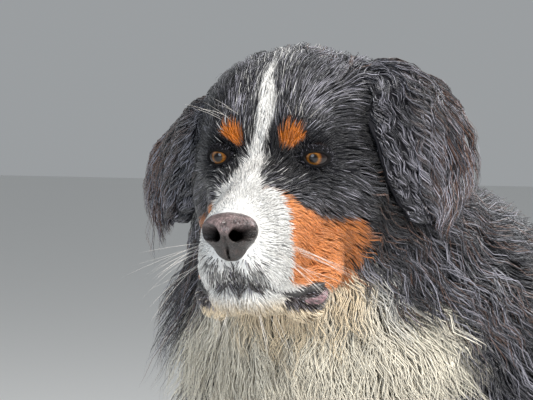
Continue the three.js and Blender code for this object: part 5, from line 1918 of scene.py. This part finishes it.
def tube(name: str, line: Path, radii: Sequence[float], around: int = 16, flat: float = 1.0) -> Piece:
    """A round bar along a line, whose radius runs through the values given, with rounded ends."""
    count = max(12, int(line.length / 1.6))
    share = 0.5 - 0.5 * np.cos(np.linspace(0, math.pi, count))
    place, _, across, over = line.frames(share)
    radius = np.interp(share, np.linspace(0, 1, len(radii)), radii)
    end = np.minimum(share, 1 - share) * line.length
    inward = 1.0 - np.minimum(end / np.maximum(radius, 0.1), 1.0)
    radius = radius * np.sqrt(np.clip(1.0 - inward**2, 0.02, 1.0))
    turn = np.linspace(0, FULL_TURN, around, endpoint=False)[None, :, None]
    round_ = across[:, None] * np.cos(turn) + over[:, None] * np.sin(turn) * flat
    points, faces = capped_grid(place[:, None] + round_ * radius[:, None, None])
    return Piece(name, points, [block[:, ::-1] for block in faces])


@dataclass(frozen=True)
class Mouth:
    """The dark lips along the mouth's crease, with the bare fold of the lower lip at each corner."""

    fold: tuple[Vec, ...] = (
        (41, -58, -101),
        (46, -53, -104),
        (52, -46, -105.5),
        (59, -36, -103),
        (63, -27, -98),
    )
    edge: Vec = (0.04, 0.03, 0.03)
    bare: Vec = (0.6, 0.4, 0.43)

    def laid(self, line: Sequence[Vec], side: Side, out: float) -> Path:
        """A line of the head's frame laid on the hide, and raised from it."""
        dense = Path((np.array(line) * [side.value, 1, 1]).tolist(), samples=30).at
        p, n = settle(skin_surface, HEAD.to_body(dense))
        return Path((p + n * out).tolist())

    def upper(self, side: Side) -> Piece:
        """The upper lip's dark edge, in the crease."""
        line = self.laid(MOUTH_LINE, side, 0.6)
        return tube(f"lip_upper_{side.word}", line, (1.3, 1.3, 0.8, 1.0, 2.8, 4.0, 3.8, 1.4), 14)

    def lower(self, side: Side) -> Piece:
        """The lower lip's dark edge, a little below the upper one."""
        line = (np.array(MOUTH_LINE) + [0, 2.0, -4.6])[:3]
        return tube(f"lip_lower_{side.word}", self.laid(line.tolist(), side, -0.2), (2.2, 1.9, 0.8), 14)

    def turned_out(self, side: Side) -> Piece:
        """The bare fold that turns out of the lower lip: pinkish on its top, dark at its edges and ends."""
        line = self.laid(self.fold, side, 1.0 if side is Side.LEFT else -1.6)
        piece = tube(f"lip_fold_{side.word}", line, (1.0, 2.8, 3.9, 3.7, 1.2), 20)
        h = HEAD.to_head(piece.points)
        height = skin_surface(piece.points)
        share = smoothstep(height, 1.8, 3.8) * (1.0 - smoothstep(np.abs(h[:, 1] + 44.0), 8.0, 15.0))
        share *= 0.5 + 0.6 * noise(h, 3.0, 31)
        piece.colours = mix(np.array(self.edge), np.array(self.bare), np.clip(share, 0.0, 1.0)[:, None])
        return piece

    def gap(self, h: Array) -> Array:
        """How far points are from the lips' dark edges, in millimetres."""
        return np.minimum(mouth_groove(h) + 0.6, bars(self.fold, [3.0] * len(self.fold), h))


MOUTH = Mouth()


class Features:
    """The bare parts of the face together: they keep the fur off and part it round them."""

    def near(self, p: Array) -> Array:
        """Which points are on the face."""
        return (p[:, 1] < -400.0) & (p[:, 2] > 590.0)

    def gaps(self, h: Array) -> Array:
        """How far points of the head's frame are from the nearest bare part, in millimetres."""
        gap = np.minimum(NOSE.mass(h), MOUTH.gap(h))
        for side in Side:
            far, share = EYES.share(h, side)
            lids = (share - 1.12) * 6.0 + np.maximum(far - 20.0, 0.0)
            gap = np.minimum(gap, np.where(far < 40.0, lids, FAR))
        return gap

    def bare(self, p: Array) -> Array:
        """Where no fur grows."""
        out = np.zeros(len(p), bool)
        near = self.near(p)
        out[near] = self.gaps(HEAD.to_head(p[near])) < 0.4
        return out

    def room(self, p: Array) -> Array:
        """How long the hair may be: it is short beside the eyes, nose and mouth."""
        out = np.full(len(p), FAR)
        near = self.near(p)
        h = HEAD.to_head(p[near])
        gap = self.gaps(h)
        cheek = mix(13.0, 25.0, smoothstep(h[:, 1], -15.0, 38.0)) + np.maximum(h[:, 1] - 34.0, 0.0) * 2.5
        cheek += np.maximum(-100.0 - h[:, 2], 0.0) * 2.5
        out[near] = np.minimum(3.2 + np.maximum(gap, 0.0) * 1.15, cheek)
        return out

    def part(self, p: Array, lie: Array) -> Array:
        """Turns the lie away from the eyes."""
        near = self.near(p)
        h = HEAD.to_head(p[near])
        away = np.zeros_like(h)
        for side in Side:
            off = h - EYES.centre(side)
            far = np.linalg.norm(off, axis=1)
            away += unit(off) * (1.4 * np.exp(-((far / 19.0) ** 4)))[:, None]
        out = lie.copy()
        out[near] = unit(lie[near] + HEAD.turned(away))
        return out


FEATURES = Features()


@dataclass(frozen=True)
class EarHair:
    """One kind of hair on the ears: how many tufts an ear has, and how they are made.

    Least and most are the lengths at the front and back edge, clump how many clumps there are down and
    across, and a kind whose most is over 60 mm grows from the top and back edge only.
    """

    count: int
    steps: int
    least: float
    most: float
    width: float
    depth: float
    wave: float
    wave_length: float
    clump: tuple[float, float]


EAR_HAIR = (
    EarHair(2200, 5, 18.0, 36.0, 1.4, 4.2, 2.2, 26.0, (15, 6)),
    EarHair(1150, 9, 46.0, 108.0, 2.0, 9.0, 6.2, 31.0, (8, 5)),
)


@dataclass(frozen=True)
class Ear:
    """A hanging ear: a curved leaf along a line, wide in the middle, with long wavy hair.

    Start and end are the ways across the leaf at its root and from half its length on. Flare is how far its
    back hair stands out, and lift how far the hair at its top stands up. Half width, cup and thickness are
    given at even shares of the length, and run is how many millimetres the length counts as.
    """

    line: tuple[Vec, ...] = (
        (56, 84, 50),
        (75, 84, 57),
        (91, 86, 46),
        (99, 90, 13),
        (103, 93, -28),
        (104, 95, -74),
    )
    start: Vec = (0.16, 0.97, -0.14)
    end: Vec = (0.3, 0.95, 0.05)
    flare: float = 0.32
    lift: float = 1.35
    half_width: tuple[float, ...] = (17, 27, 37, 44, 45, 41, 31, 7)
    cup: tuple[float, ...] = (4, 7, 10, 10, 8, 7, 5, 2)
    thickness: tuple[float, ...] = (10, 10, 9, 8.5, 8, 8, 7, 5)
    front_curl: float = 11.0
    run: float = 182.0

    def profile(self, values: tuple[float, ...], u: Array) -> Array:
        """A value along the ear, between those given at even shares."""
        return np.interp(u, np.linspace(0, 1, len(values)), values)

    def thick(self, u: Array, v: Array) -> Array:
        """Half the leaf's thickness, thinned to a quarter at its edges."""
        return self.profile(self.thickness, u) / 2 * (1 - 0.75 * np.minimum(v * v, 1.0)) * 0.8

    def frame(self, u: Array) -> tuple[Array, Array, Array, Array]:
        """Places down the ear's middle, with the ways down, across to the back and out."""
        line = Path(self.line)
        place, along, _, _ = line.frames(u)
        across = mix(np.array(self.start), np.array(self.end), np.minimum(1.0, u * 2)[:, None])
        across = unit(across - along * (across * along).sum(axis=1)[:, None])
        return place, along, across, unit(np.cross(along, across))

    def at(self, side: Side, u: Array, v: Array, lift: Array) -> Array:
        """Places in the body's frame: down the ear by u, across by v, and out from its leaf by lift.

        The leaf curls in by cup times v squared, and past its edges goes straight on; its front edge curls
        in more near the top. Below the tip places go on down.
        """
        place, along, across, out = self.frame(np.minimum(u, 1.0))
        curl = np.where(np.abs(v) < 1, v * v, 2 * np.abs(v) - 1)
        window = smoothstep(u, 0.0, 0.12) * (1.0 - smoothstep(u, 0.28, 0.5))
        cup = self.profile(self.cup, u) + self.front_curl * (v < 0) * window
        half = self.profile(self.half_width, np.minimum(u, 0.9))
        half = half * np.sqrt(np.clip(1.0 - (np.maximum(u - 0.9, 0.0) / 0.1) ** 2, 0.04, 1.0))
        p = place + across * (half * v)[:, None] + out * (lift - cup * curl)[:, None]
        p = p + along * (np.maximum(u - 1.0, 0.0) * self.run)[:, None]
        return HEAD.to_body(p * [side.value, 1, 1])

    def leaf(self, side: Side) -> Piece:
        """The leather: the outer face and, turned back, the inner one, thinned to the edges."""
        rows, columns = 44, 22
        u = np.linspace(0, 1, rows)
        v = np.sin(np.linspace(-math.pi / 2, math.pi / 2, columns))
        uu, vv = np.repeat(u, columns), np.tile(v, rows)
        half = self.thick(uu, vv)
        outer = self.at(side, uu, vv, half).reshape(rows, columns, 3)
        inner = self.at(side, uu, vv, -half).reshape(rows, columns, 3)[:, ::-1]
        points, faces = capped_grid(np.concatenate([outer, inner], axis=1))
        if side is Side.LEFT:
            faces = [block[:, ::-1] for block in faces]
        return Piece(f"ear_leaf_{side.word}", points, faces, np.tile(Hue.BLACK.rgb * 0.35, (len(points), 1)))

    def tufts(self, side: Side, hair: EarHair, rng: np.random.Generator) -> Tufts:
        """One kind of the ear's hair: sleek on its face, or long and wavy from its top and back edge.

        A tuft's place at share t of its length is the leaf's place at u plus the length gone down, over the
        ear's length, and v plus the length gone back, over its half width, lifted by depth times
        (1 - (1 - t)^2), with a wave across and the weight of the length hanging past the leaf. Past the
        back edge it flares out.

        Args:
            side: which ear.
            hair: which kind.
            rng: the random draws.

        Returns:
            The tufts.
        """
        count = hair.count
        far = hair.most > 60.0
        v = rng.uniform(-0.98, 1.0, count)
        u = rng.uniform(0.0, 0.97, count)
        if far:
            v = 1.0 - 1.25 * rng.random(count) ** 1.5
            u = 0.02 + 0.86 * rng.random(count) ** 1.15
        inner = rng.random(count) < 0.12
        clump = np.floor(np.stack([u, v / 2], axis=1) * hair.clump + rng.random(2)).astype(np.int64)
        key = np.unique(clump[:, 0] * 512 + clump[:, 1] + inner * 100000, return_inverse=True)[1].ravel()
        groups = key.max() + 1
        back = smoothstep(v, -0.3, 0.8) * (1.0 - 0.75 * smoothstep(u, 0.5, 0.9))
        length = mix(hair.least, hair.most, back) * rng.uniform(0.82, 1.1, count)
        length *= rng.uniform(0.85, 1.12, groups)[key] * np.where(inner, 0.6, 1.0)
        length *= 1.0 - (0.45 + 0.25 * self.flare) * smoothstep(u, 0.45, 0.9)
        lean = 0.04 + 0.8 * smoothstep(v, -0.5, 0.6) * (1 - smoothstep(u, 0.3, 0.9))
        lean = lean + rng.normal(0, 0.1, groups)[key]
        length *= 1.0 - 0.3 * (1.0 - smoothstep(u, 0.08, 0.2)) * smoothstep(v, 0.2, 0.7)
        depth = hair.depth * rng.uniform(0.5, 1.0, count) * mix(self.lift, 1.0, smoothstep(u, 0.05, 0.35))
        phase = rng.uniform(0, FULL_TURN, groups)[key]
        half = self.profile(self.half_width, np.clip(u, 0.0, 0.9))
        thick = self.thick(u, v)
        places = []
        for k in range(hair.steps + 1):
            t = k / hair.steps
            gone = length * t
            turned = lean * (1.0 - 0.5 * t)
            swing = gone / hair.wave_length * 2 * math.pi + phase
            wave = hair.wave * min(1.0, 1.6 * t)
            down = u + gone * np.cos(turned) / self.run
            aside = v + (gone * np.sin(turned) + np.sin(swing) * wave) / half
            lift = thick * 0.8 + depth * (1 - (1 - t) ** 2) + np.cos(swing) * wave * 0.45
            p = self.at(side, down, aside, np.where(inner, -lift, lift))
            beyond = np.maximum(aside - 0.9, 0.0) * half
            p[:, 2] -= beyond * (0.65 - 0.35 * self.flare)
            p[:, 0] += side.value * beyond * self.flare
            places.append(p)
        path = gathered(np.stack(places, axis=1), key, 0.5)
        shade = rng.uniform(0.6, 1.4, count) * rng.uniform(0.65, 1.35, groups)[key]
        colour = np.tile(Hue.BLACK.rgb, (count, 1)) * shade[:, None]
        # painted highlight: pale grey tips on some of the ear's hair, more in whole locks, for glints of light
        draw = rng.random(count)
        lock = rng.random(groups)[key]
        painted_glint = (draw < 0.14 + 0.5 * lock**2) * rng.uniform(0.2, 0.95, count)
        tip = mix(colour * 1.3, Hue.FROST.rgb, painted_glint[:, None])
        brown = (draw > 0.8 - 0.4 * self.flare) * (0.25 + 0.65 * back) * far
        tip = mix(tip, Hue.BROWN.rgb, brown[:, None])
        width = hair.width * rng.uniform(0.8, 1.2, count)
        _, _, _, out = self.frame(u)
        over = HEAD.turned(out * [side.value, 1, 1]) * np.where(inner, -1.0, 1.0)[:, None]
        normal = np.repeat(over[:, None], hair.steps + 1, axis=1)
        # painted shade: the ear hair's roots at 0.8 of the colour and the tips at 1.3
        return Tufts(path, normal, width, colour * 0.8, tip, u, (v * 0.12 + 0.13) + inner * 0.25 + far * 0.5)

    def coat(self, side: Side, rng: np.random.Generator) -> Piece:
        """All of one ear's hair."""
        return join(f"ear_coat_{side.word}", [self.tufts(side, hair, rng).mesh("draft") for hair in EAR_HAIR])


EARS = {
    Side.LEFT: Ear(),
    Side.RIGHT: Ear(
        line=((57, 88, 26), (74, 91, 27), (91, 92, 14), (101, 92, -12), (108, 92, -44), (111, 93, -77)),
        start=(0.35, 0.93, -0.1),
        end=(0.6, 0.8, 0.03),
        flare=0.42,
        lift=0.5,
        run=160.0,
    ),
}


@dataclass(frozen=True)
class Whiskers:
    """Stiff bristles on the lips, brows and chin: root in the head's frame, way it grows, length."""

    rows: tuple[tuple[Vec, Vec, float], ...] = (
        ((22, -72, -52), (0.85, -0.35, -0.12), 62),
        ((25, -66, -58), (0.92, -0.2, -0.25), 70),
        ((27, -60, -64), (0.95, -0.1, -0.3), 66),
        ((24, -76, -62), (0.8, -0.5, -0.4), 58),
        ((28, -68, -70), (0.85, -0.3, -0.5), 64),
        ((30, -56, -74), (0.9, 0.0, -0.45), 60),
        ((22, -82, -56), (0.75, -0.6, -0.2), 50),
        ((31, -48, -66), (0.95, 0.15, -0.25), 58),
        ((30, 3, 30), (0.4, -0.75, 0.55), 46),
        ((24, 2, 33), (0.2, -0.8, 0.6), 42),
        ((36, 6, 28), (0.6, -0.6, 0.5), 40),
        ((12, -80, -104), (0.3, -0.5, -0.85), 34),
        ((18, -66, -106), (0.5, -0.3, -0.85), 36),
    )

    def tufts(self, rng: np.random.Generator) -> Tufts:
        """Two bristles a row on each side: long thin spikes that droop by about an eighth of their length."""
        root, way, length = [], [], []
        for side in Side:
            for place, direction, size in self.rows * 2:
                root.append((np.array(place) + rng.normal(0, 1.6, 3)) * [side.value, 1, 1])
                way.append(np.array(direction) * [side.value, 1, 1])
                length.append(size)
        root, _ = settle(skin_surface, HEAD.to_body(np.array(root)))
        count = len(root)
        way = unit(HEAD.turned(unit(np.array(way))) + rng.normal(0, 0.08, (count, 3)))
        length = np.array(length) * rng.uniform(0.8, 1.15, count)
        t = np.linspace(0, 1, 8)[None, :, None]
        bend = rng.normal(0, 0.07, (count, 1, 3)) - np.array([0, -0.04, 0.13])
        run = length[:, None, None] * t
        path = root[:, None] + way[:, None] * run + bend * (run * t)
        normal = np.tile(np.array([0.1, 0.2, 1.0]), (count, 8, 1))
        white = np.tile(np.array([0.55, 0.52, 0.48]), (count, 1))
        share = (np.arange(count) + 0.5) / count
        return Tufts(path, normal, np.full(count, 0.75), white, white, share, share)


@dataclass(frozen=True)
class Claws:
    """Four curved claws at the front of each foot, along an arc of places forward and up."""

    arc: tuple[tuple[float, float], ...] = ((-41, 17), (-48.5, 17.2), (-55, 12), (-57.5, 5))

    def mesh(self, end: str, paw: Paw, side: Side) -> Piece:
        """The claws of one foot: tapered tubes along an arc down to the floor."""
        pieces = []
        for aside, back in TOES:
            arc = [(aside, forward + back, height) for forward, height in self.arc]
            line = Path(paw.world(arc, side).tolist())
            pieces.append(tube("claw", line, (4.6, 4.4, 3.4, 1.0), 16, 1.2))
        return join(f"claws_{end}_{side.word}", pieces)


def node(tree: bpy.types.NodeTree, kind: str, **values: object) -> bpy.types.Node:
    """A new node with its properties or its sockets' values set by name."""
    made = tree.nodes.new(kind)
    for name, value in values.items():
        if hasattr(made, name):
            setattr(made, name, value)
        else:
            made.inputs[name.replace("_", " ")].default_value = value
    return made


def material_with_shader(name: str) -> tuple[bpy.types.Material, bpy.types.NodeTree, bpy.types.Node]:
    """A new material with its node tree and its main shader."""
    made = bpy.data.materials.new(name)
    made.use_nodes = True
    return made, made.node_tree, made.node_tree.nodes["Principled BSDF"]


def set_ramp(ramp: bpy.types.Node, stops: Sequence[tuple[float, Vec]]) -> None:
    """Gives a colour ramp its stops: position and red, green and blue."""
    elements = ramp.color_ramp.elements
    for element, (position, colour) in zip(elements, (stops[0], stops[-1])):
        element.position = position
        element.color = (*colour, 1.0)
    for position, colour in stops[1:-1]:
        elements.new(position).color = (*colour, 1.0)


def fur_group() -> bpy.types.NodeTree:
    """A node group that streaks a colour along each tuft's strands and shades it slowly over the coat.

    Fine noise across the strands multiplies the colour and gives a height for the bump; wide noise over
    the object multiplies it too.
    """
    tree = bpy.data.node_groups.new("fur_strands", "ShaderNodeTree")
    for name, way, kind in (
        ("Colour", "INPUT", "NodeSocketColor"),
        ("Slow", "INPUT", "NodeSocketFloat"),
        ("Fine", "INPUT", "NodeSocketFloat"),
        ("Colour", "OUTPUT", "NodeSocketColor"),
        ("Height", "OUTPUT", "NodeSocketFloat"),
    ):
        tree.interface.new_socket(name, in_out=way, socket_type=kind)
    start, end = tree.nodes.new("NodeGroupInput"), tree.nodes.new("NodeGroupOutput")
    place = tree.nodes.new("ShaderNodeTexCoord")
    strand = node(tree, "ShaderNodeAttribute", attribute_name="strand")
    link = tree.links.new
    shades = []
    sources = ((place.outputs["Object"], 30.0, "Slow"), (strand.outputs["Vector"], 2.6, "Fine"))
    for source, scale, amount in sources:
        texture = node(tree, "ShaderNodeTexNoise", Scale=scale, Detail=3.0, Roughness=0.6)
        spread = node(tree, "ShaderNodeMapRange", clamp=False)
        for socket, value in (("From Min", 0.3), ("From Max", 0.7), ("To Min", -1.0), ("To Max", 1.0)):
            spread.inputs[socket].default_value = value
        shade = node(tree, "ShaderNodeMath", operation="MULTIPLY_ADD")
        shade.inputs[2].default_value = 1.0
        link(source, texture.inputs["Vector"])
        link(texture.outputs["Fac"], spread.inputs["Value"])
        link(spread.outputs["Result"], shade.inputs[0])
        link(start.outputs[amount], shade.inputs[1])
        shades.append(shade)
    both = node(tree, "ShaderNodeMath", operation="MULTIPLY")
    scaled = node(tree, "ShaderNodeVectorMath", operation="SCALE")
    link(shades[0].outputs["Value"], both.inputs[0])
    link(shades[1].outputs["Value"], both.inputs[1])
    link(start.outputs["Colour"], scaled.inputs[0])
    link(both.outputs["Value"], scaled.inputs["Scale"])
    link(scaled.outputs["Vector"], end.inputs["Colour"])
    link(texture.outputs["Fac"], end.inputs["Height"])
    return tree


@dataclass(frozen=True)
class FurFinish:
    """Hair: the piece's own colour, streaked along its strands, with the gloss of clean hair.

    Gloss is the weight of a clear film on black hair, less on rust and none on white. Slow and fine are how
    far the streaks change the colour, over the coat and across each tuft.
    """

    name: str
    roughness: float = 0.3
    specular: float = 0.3
    gloss: float = 1.0
    sheen: float = 0.08
    slow: float = 0.15
    fine: float = 0.5
    bump: float = 0.3

    def material(self, strands: bpy.types.NodeTree) -> bpy.types.Material:
        """Builds the material."""
        made, tree, shader = material_with_shader(self.name)
        shader.inputs["Roughness"].default_value = self.roughness
        shader.inputs["Specular IOR Level"].default_value = self.specular
        shader.inputs["Specular Tint"].default_value = (0.9, 0.92, 1.0, 1.0)
        shader.inputs["Sheen Weight"].default_value = self.sheen
        shader.inputs["Sheen Roughness"].default_value = 0.5
        colour = node(tree, "ShaderNodeAttribute", attribute_name="coat_colour")
        streaks = node(tree, "ShaderNodeGroup", node_tree=strands)
        streaks.inputs["Slow"].default_value = self.slow
        streaks.inputs["Fine"].default_value = self.fine
        bump = node(tree, "ShaderNodeBump")
        bump.inputs["Strength"].default_value = self.bump
        bump.inputs["Distance"].default_value = 0.0006
        shader.inputs["Coat Roughness"].default_value = 0.27
        film = node(tree, "ShaderNodeValToRGB")
        weights = ((0.004, 0.0), (0.013, self.gloss), (0.06, self.gloss * 0.6), (0.3, 0.0))
        set_ramp(film, [(tone, (weight,) * 3) for tone, weight in weights])
        tree.links.new(streaks.outputs["Colour"], film.inputs["Fac"])
        tree.links.new(film.outputs["Color"], shader.inputs["Coat Weight"])
        tree.links.new(colour.outputs["Color"], streaks.inputs["Colour"])
        tree.links.new(streaks.outputs["Colour"], shader.inputs["Base Color"])
        tree.links.new(streaks.outputs["Height"], bump.inputs["Height"])
        tree.links.new(bump.outputs["Normal"], shader.inputs["Normal"])
        return made


@dataclass(frozen=True)
class EyeFinish:
    """A wet eyeball: pupil, amber iris with fibres, dark rim of the iris and a very dark reddish-brown white,
    by angle.
    """

    pupil: float = 15.0
    iris: float = 34.0

    def material(self) -> bpy.types.Material:
        """Builds the material."""
        made, tree, shader = material_with_shader("eyeball")
        shader.inputs["Roughness"].default_value = 0.06
        shader.inputs["IOR"].default_value = 1.38
        shader.inputs["Specular IOR Level"].default_value = 0.5
        angle = node(tree, "ShaderNodeAttribute", attribute_name="gaze_angle")
        turn = node(tree, "ShaderNodeAttribute", attribute_name="gaze_turn")
        share = node(tree, "ShaderNodeMath", operation="DIVIDE")
        share.inputs[1].default_value = 90.0
        ramp = node(tree, "ShaderNodeValToRGB")
        stops = (
            (0.0, (0.003, 0.003, 0.004)),
            (self.pupil / 90 - 0.01, (0.004, 0.003, 0.003)),
            (self.pupil / 90 + 0.015, (0.035, 0.015, 0.004)),
            (self.pupil / 90 + 0.07, (0.13, 0.052, 0.008)),
            (self.iris / 90 - 0.08, (0.085, 0.03, 0.005)),
            (self.iris / 90 - 0.02, (0.02, 0.008, 0.004)),
            (self.iris / 90 + 0.03, (0.006, 0.004, 0.004)),
            (self.iris / 90 + 0.16, (0.01, 0.007, 0.007)),
        )
        set_ramp(ramp, stops)
        fibres = node(tree, "ShaderNodeTexNoise", Scale=9.0, Detail=4.0, Roughness=0.65)
        stretch = node(tree, "ShaderNodeMapping")
        stretch.inputs["Scale"].default_value = (1.6, 1.6, 0.25)
        spread = node(tree, "ShaderNodeMapRange", From_Min=0.3, From_Max=0.7, To_Min=0.55, To_Max=1.5)
        shade = node(tree, "ShaderNodeVectorMath", operation="SCALE")
        link = tree.links.new
        link(angle.outputs["Fac"], share.inputs[0])
        link(share.outputs["Value"], ramp.inputs["Fac"])
        link(turn.outputs["Vector"], stretch.inputs["Vector"])
        link(stretch.outputs["Vector"], fibres.inputs["Vector"])
        link(fibres.outputs["Fac"], spread.inputs["Value"])
        link(ramp.outputs["Color"], shade.inputs[0])
        link(spread.outputs["Result"], shade.inputs["Scale"])
        link(shade.outputs["Vector"], shader.inputs["Base Color"])
        return made


@dataclass(frozen=True)
class LeatherFinish:
    """Bare skin or horn: one colour with pebbles or pores in its bump and a moist gloss.

    Pebble and depth are the pebbles' size and relief in metres, coat the weight of the moist film, and a
    tinted one is multiplied by the piece's own colours. Where the piece's depth is 1, as in the nostrils, it
    has no film, is fully metallic and throws no light back: painted shade.
    """

    name: str
    colour: Vec
    roughness: float
    pebble: float
    depth: float
    coat: float = 0.0
    tinted: bool = False

    def material(self) -> bpy.types.Material:
        """Builds the material: cells give the pebbles, and a fine noise the change of tone and gloss."""
        made, tree, shader = material_with_shader(self.name)
        shader.inputs["Coat Roughness"].default_value = 0.18
        place = tree.nodes.new("ShaderNodeTexCoord")
        cells = node(tree, "ShaderNodeTexVoronoi", feature="DISTANCE_TO_EDGE", Scale=1.0 / self.pebble)
        rise = node(tree, "ShaderNodeMapRange", From_Min=0.0, From_Max=0.35)
        bump = node(tree, "ShaderNodeBump", Strength=0.55, Distance=self.depth)
        tone = node(tree, "ShaderNodeTexNoise", Scale=160.0, Detail=3.0)
        ramp = node(tree, "ShaderNodeValToRGB")
        low, high = (tuple(c * f for c in self.colour) for f in (0.55, 1.6))
        set_ramp(ramp, ((0.3, low), (0.7, high)))
        hollow = node(tree, "ShaderNodeAttribute", attribute_name="depth")
        film = node(tree, "ShaderNodeMapRange", From_Min=0.0, From_Max=1.0, To_Min=self.coat, To_Max=0.0)
        least, most = self.roughness * 0.8, self.roughness * 1.3
        gloss = node(tree, "ShaderNodeMapRange", From_Min=0.3, From_Max=0.7, To_Min=least, To_Max=most)
        link = tree.links.new
        link(place.outputs["Object"], cells.inputs["Vector"])
        link(place.outputs["Object"], tone.inputs["Vector"])
        link(cells.outputs["Distance"], rise.inputs["Value"])
        link(rise.outputs["Result"], bump.inputs["Height"])
        link(bump.outputs["Normal"], shader.inputs["Normal"])
        link(tone.outputs["Fac"], ramp.inputs["Fac"])
        link(tone.outputs["Fac"], gloss.inputs["Value"])
        colour = ramp.outputs["Color"]
        if self.tinted:
            tint = node(tree, "ShaderNodeAttribute", attribute_name="coat_colour")
            product = node(tree, "ShaderNodeVectorMath", operation="MULTIPLY")
            link(colour, product.inputs[0])
            link(tint.outputs["Color"], product.inputs[1])
            colour = product.outputs["Vector"]
        link(colour, shader.inputs["Base Color"])
        rough = node(tree, "ShaderNodeMath", operation="MAXIMUM")
        link(gloss.outputs["Result"], rough.inputs[0])
        link(hollow.outputs["Fac"], rough.inputs[1])
        link(rough.outputs["Value"], shader.inputs["Roughness"])
        # painted shade: in the nostrils the pad is fully metallic and rough, so it throws no light back
        link(hollow.outputs["Fac"], shader.inputs["Metallic"])
        link(hollow.outputs["Fac"], film.inputs["Value"])
        link(film.outputs["Result"], shader.inputs["Coat Weight"])
        return made


@dataclass(frozen=True)
class Studio:
    """The pale floor, the soft lights and the camera: aim and distance in millimetres, the rest in metres."""

    aim: Vec = (9.0, -480.0, 722.0)
    azimuth: float = 25.0
    elevation: float = 3.0
    distance: float = 2500.0
    sensor: float = 36.0
    floor_half: float = 14.0
    lit: Vec = (0.0, -0.35, 0.6)

    def camera(self) -> None:
        """The camera at the photo's angle: it stands off along the azimuth and looks at the face."""
        data = bpy.data.cameras.new("camera")
        data.sensor_fit = "HORIZONTAL"
        data.sensor_width = self.sensor
        data.lens = PHOTO_FOCAL_PIXELS / IMAGE_WIDTH * self.sensor
        data.clip_end = 60.0
        camera = linked("camera", data)
        a, e = math.radians(self.azimuth), math.radians(self.elevation)
        away = Vector((math.sin(a) * math.cos(e), -math.cos(a) * math.cos(e), math.sin(e)))
        aim = Vector(to_frame(np.array(self.aim)))
        camera.location = aim + away * self.distance * METRE
        camera.rotation_euler = (-away).to_track_quat("-Z", "Y").to_euler()
        bpy.context.scene.camera = camera

    def floor(self) -> None:
        """A wide pale floor."""
        size = self.floor_half
        corners = [(-size, -size, 0), (size, -size, 0), (size, size, 0), (-size, size, 0)]
        mesh = bpy.data.meshes.new("floor")
        mesh.from_pydata(corners, [], [(0, 1, 2, 3)])
        made, _, shader = material_with_shader("floor")
        shader.inputs["Base Color"].default_value = (0.8, 0.8, 0.79, 1.0)
        shader.inputs["Roughness"].default_value = 0.85
        mesh.materials.append(made)
        floor = linked("floor", mesh)

    def area(self, name: str, at: Vec, size: float, power: float, tint: Vec = (1.0, 1.0, 1.0)) -> None:
        """A round soft light that faces the head."""
        data = bpy.data.lights.new(name, "AREA")
        data.shape = "DISK"
        data.size = size
        data.energy = power
        data.color = tint
        light = linked(name, data)
        light.location = at
        light.rotation_euler = (Vector(self.lit) - Vector(at)).to_track_quat("-Z", "Y").to_euler()

    def lights(self) -> None:
        """A light above on the left, weaker ones ahead and opposite, one behind, and a pale surround."""
        self.area("key", (2.3, -2.1, 3.1), 0.7, 262.0, (1.0, 0.97, 0.93))
        self.area("front", (-0.2, -3.4, 1.15), 1.6, 45.0, (0.78, 0.88, 1.0))
        self.area("fill", (-2.8, -1.8, 1.6), 2.4, 14.0, (0.88, 0.94, 1.0))
        self.area("back", (1.9, 2.0, 2.9), 1.8, 125.0, (0.96, 0.98, 1.0))
        world = bpy.data.worlds.new("surround")
        world.use_nodes = True
        background = world.node_tree.nodes["Background"]
        background.inputs["Color"].default_value = (0.86, 0.9, 0.93, 1.0)
        background.inputs["Strength"].default_value = 0.38
        bpy.context.scene.world = world
        bpy.context.scene.view_settings.view_transform = "Standard"

    def build(self) -> None:
        """Sets it all up."""
        self.camera()
        self.floor()
        self.lights()


def main() -> None:
    """Builds the dog and the studio round it."""
    logging.basicConfig(level=logging.INFO, format="%(message)s")
    Studio().build()
    strands = fur_group()
    fur = FurFinish("fur").material(strands)
    hide = FurFinish("hide", 0.75, 0.15, 0.0, sheen=0.0, fine=0.0, bump=0.0).material(strands)
    nose = LeatherFinish("nose_leather", (0.034, 0.026, 0.024), 0.42, 0.0019, 0.0014, 0.2, True).material()
    lip = LeatherFinish("lip_leather", (0.009, 0.0075, 0.0075), 0.45, 0.0024, 0.0008, 0.12).material()
    rim = FurFinish("lid_rim", 0.7, 0.07, 0.0, sheen=0.0, fine=0.1, bump=0.1).material(strands)
    lash = FurFinish("lashes", 0.5, 0.14, 0.1, sheen=0.0).material(strands)
    fold = LeatherFinish("lip_fold", (0.4, 0.34, 0.35), 0.5, 0.0024, 0.0012, 0.08, True).material()
    horn = LeatherFinish("claw_horn", (0.03, 0.026, 0.022), 0.38, 0.004, 0.0001).material()
    eye = EyeFinish().material()
    skin = Skin()
    skin.dress(hide)
    CoatGrower(skin).grow(fur)
    rng = np.random.default_rng(5)
    for side in Side:
        EYES.ball(side).build(eye, "eye", [f"eye_{side.word}"])
        EYES.lids(side).build(rim, "black_coat")
        EYES.lashes(side, rng).build(lash, "black_coat")
        EARS[side].leaf(side).build(hide, "black_coat", [f"ear_{side.word}"])
        EARS[side].coat(side, rng).build(fur, "black_coat")
        MOUTH.upper(side).build(lip, "nose_leather")
        MOUTH.lower(side).build(lip, "nose_leather")
        MOUTH.turned_out(side).build(fold, "nose_leather")
        for end, paw in (("front", FORE_PAW), ("hind", HIND_PAW)):
            Claws().mesh(end, paw, side).build(horn, "nose_leather")
    NOSE.mesh().build(nose, "nose_leather", ["nose"])
    Whiskers().tufts(rng).mesh("whiskers").build(fur, "white_coat")


if __name__ == "__main__":
    main()
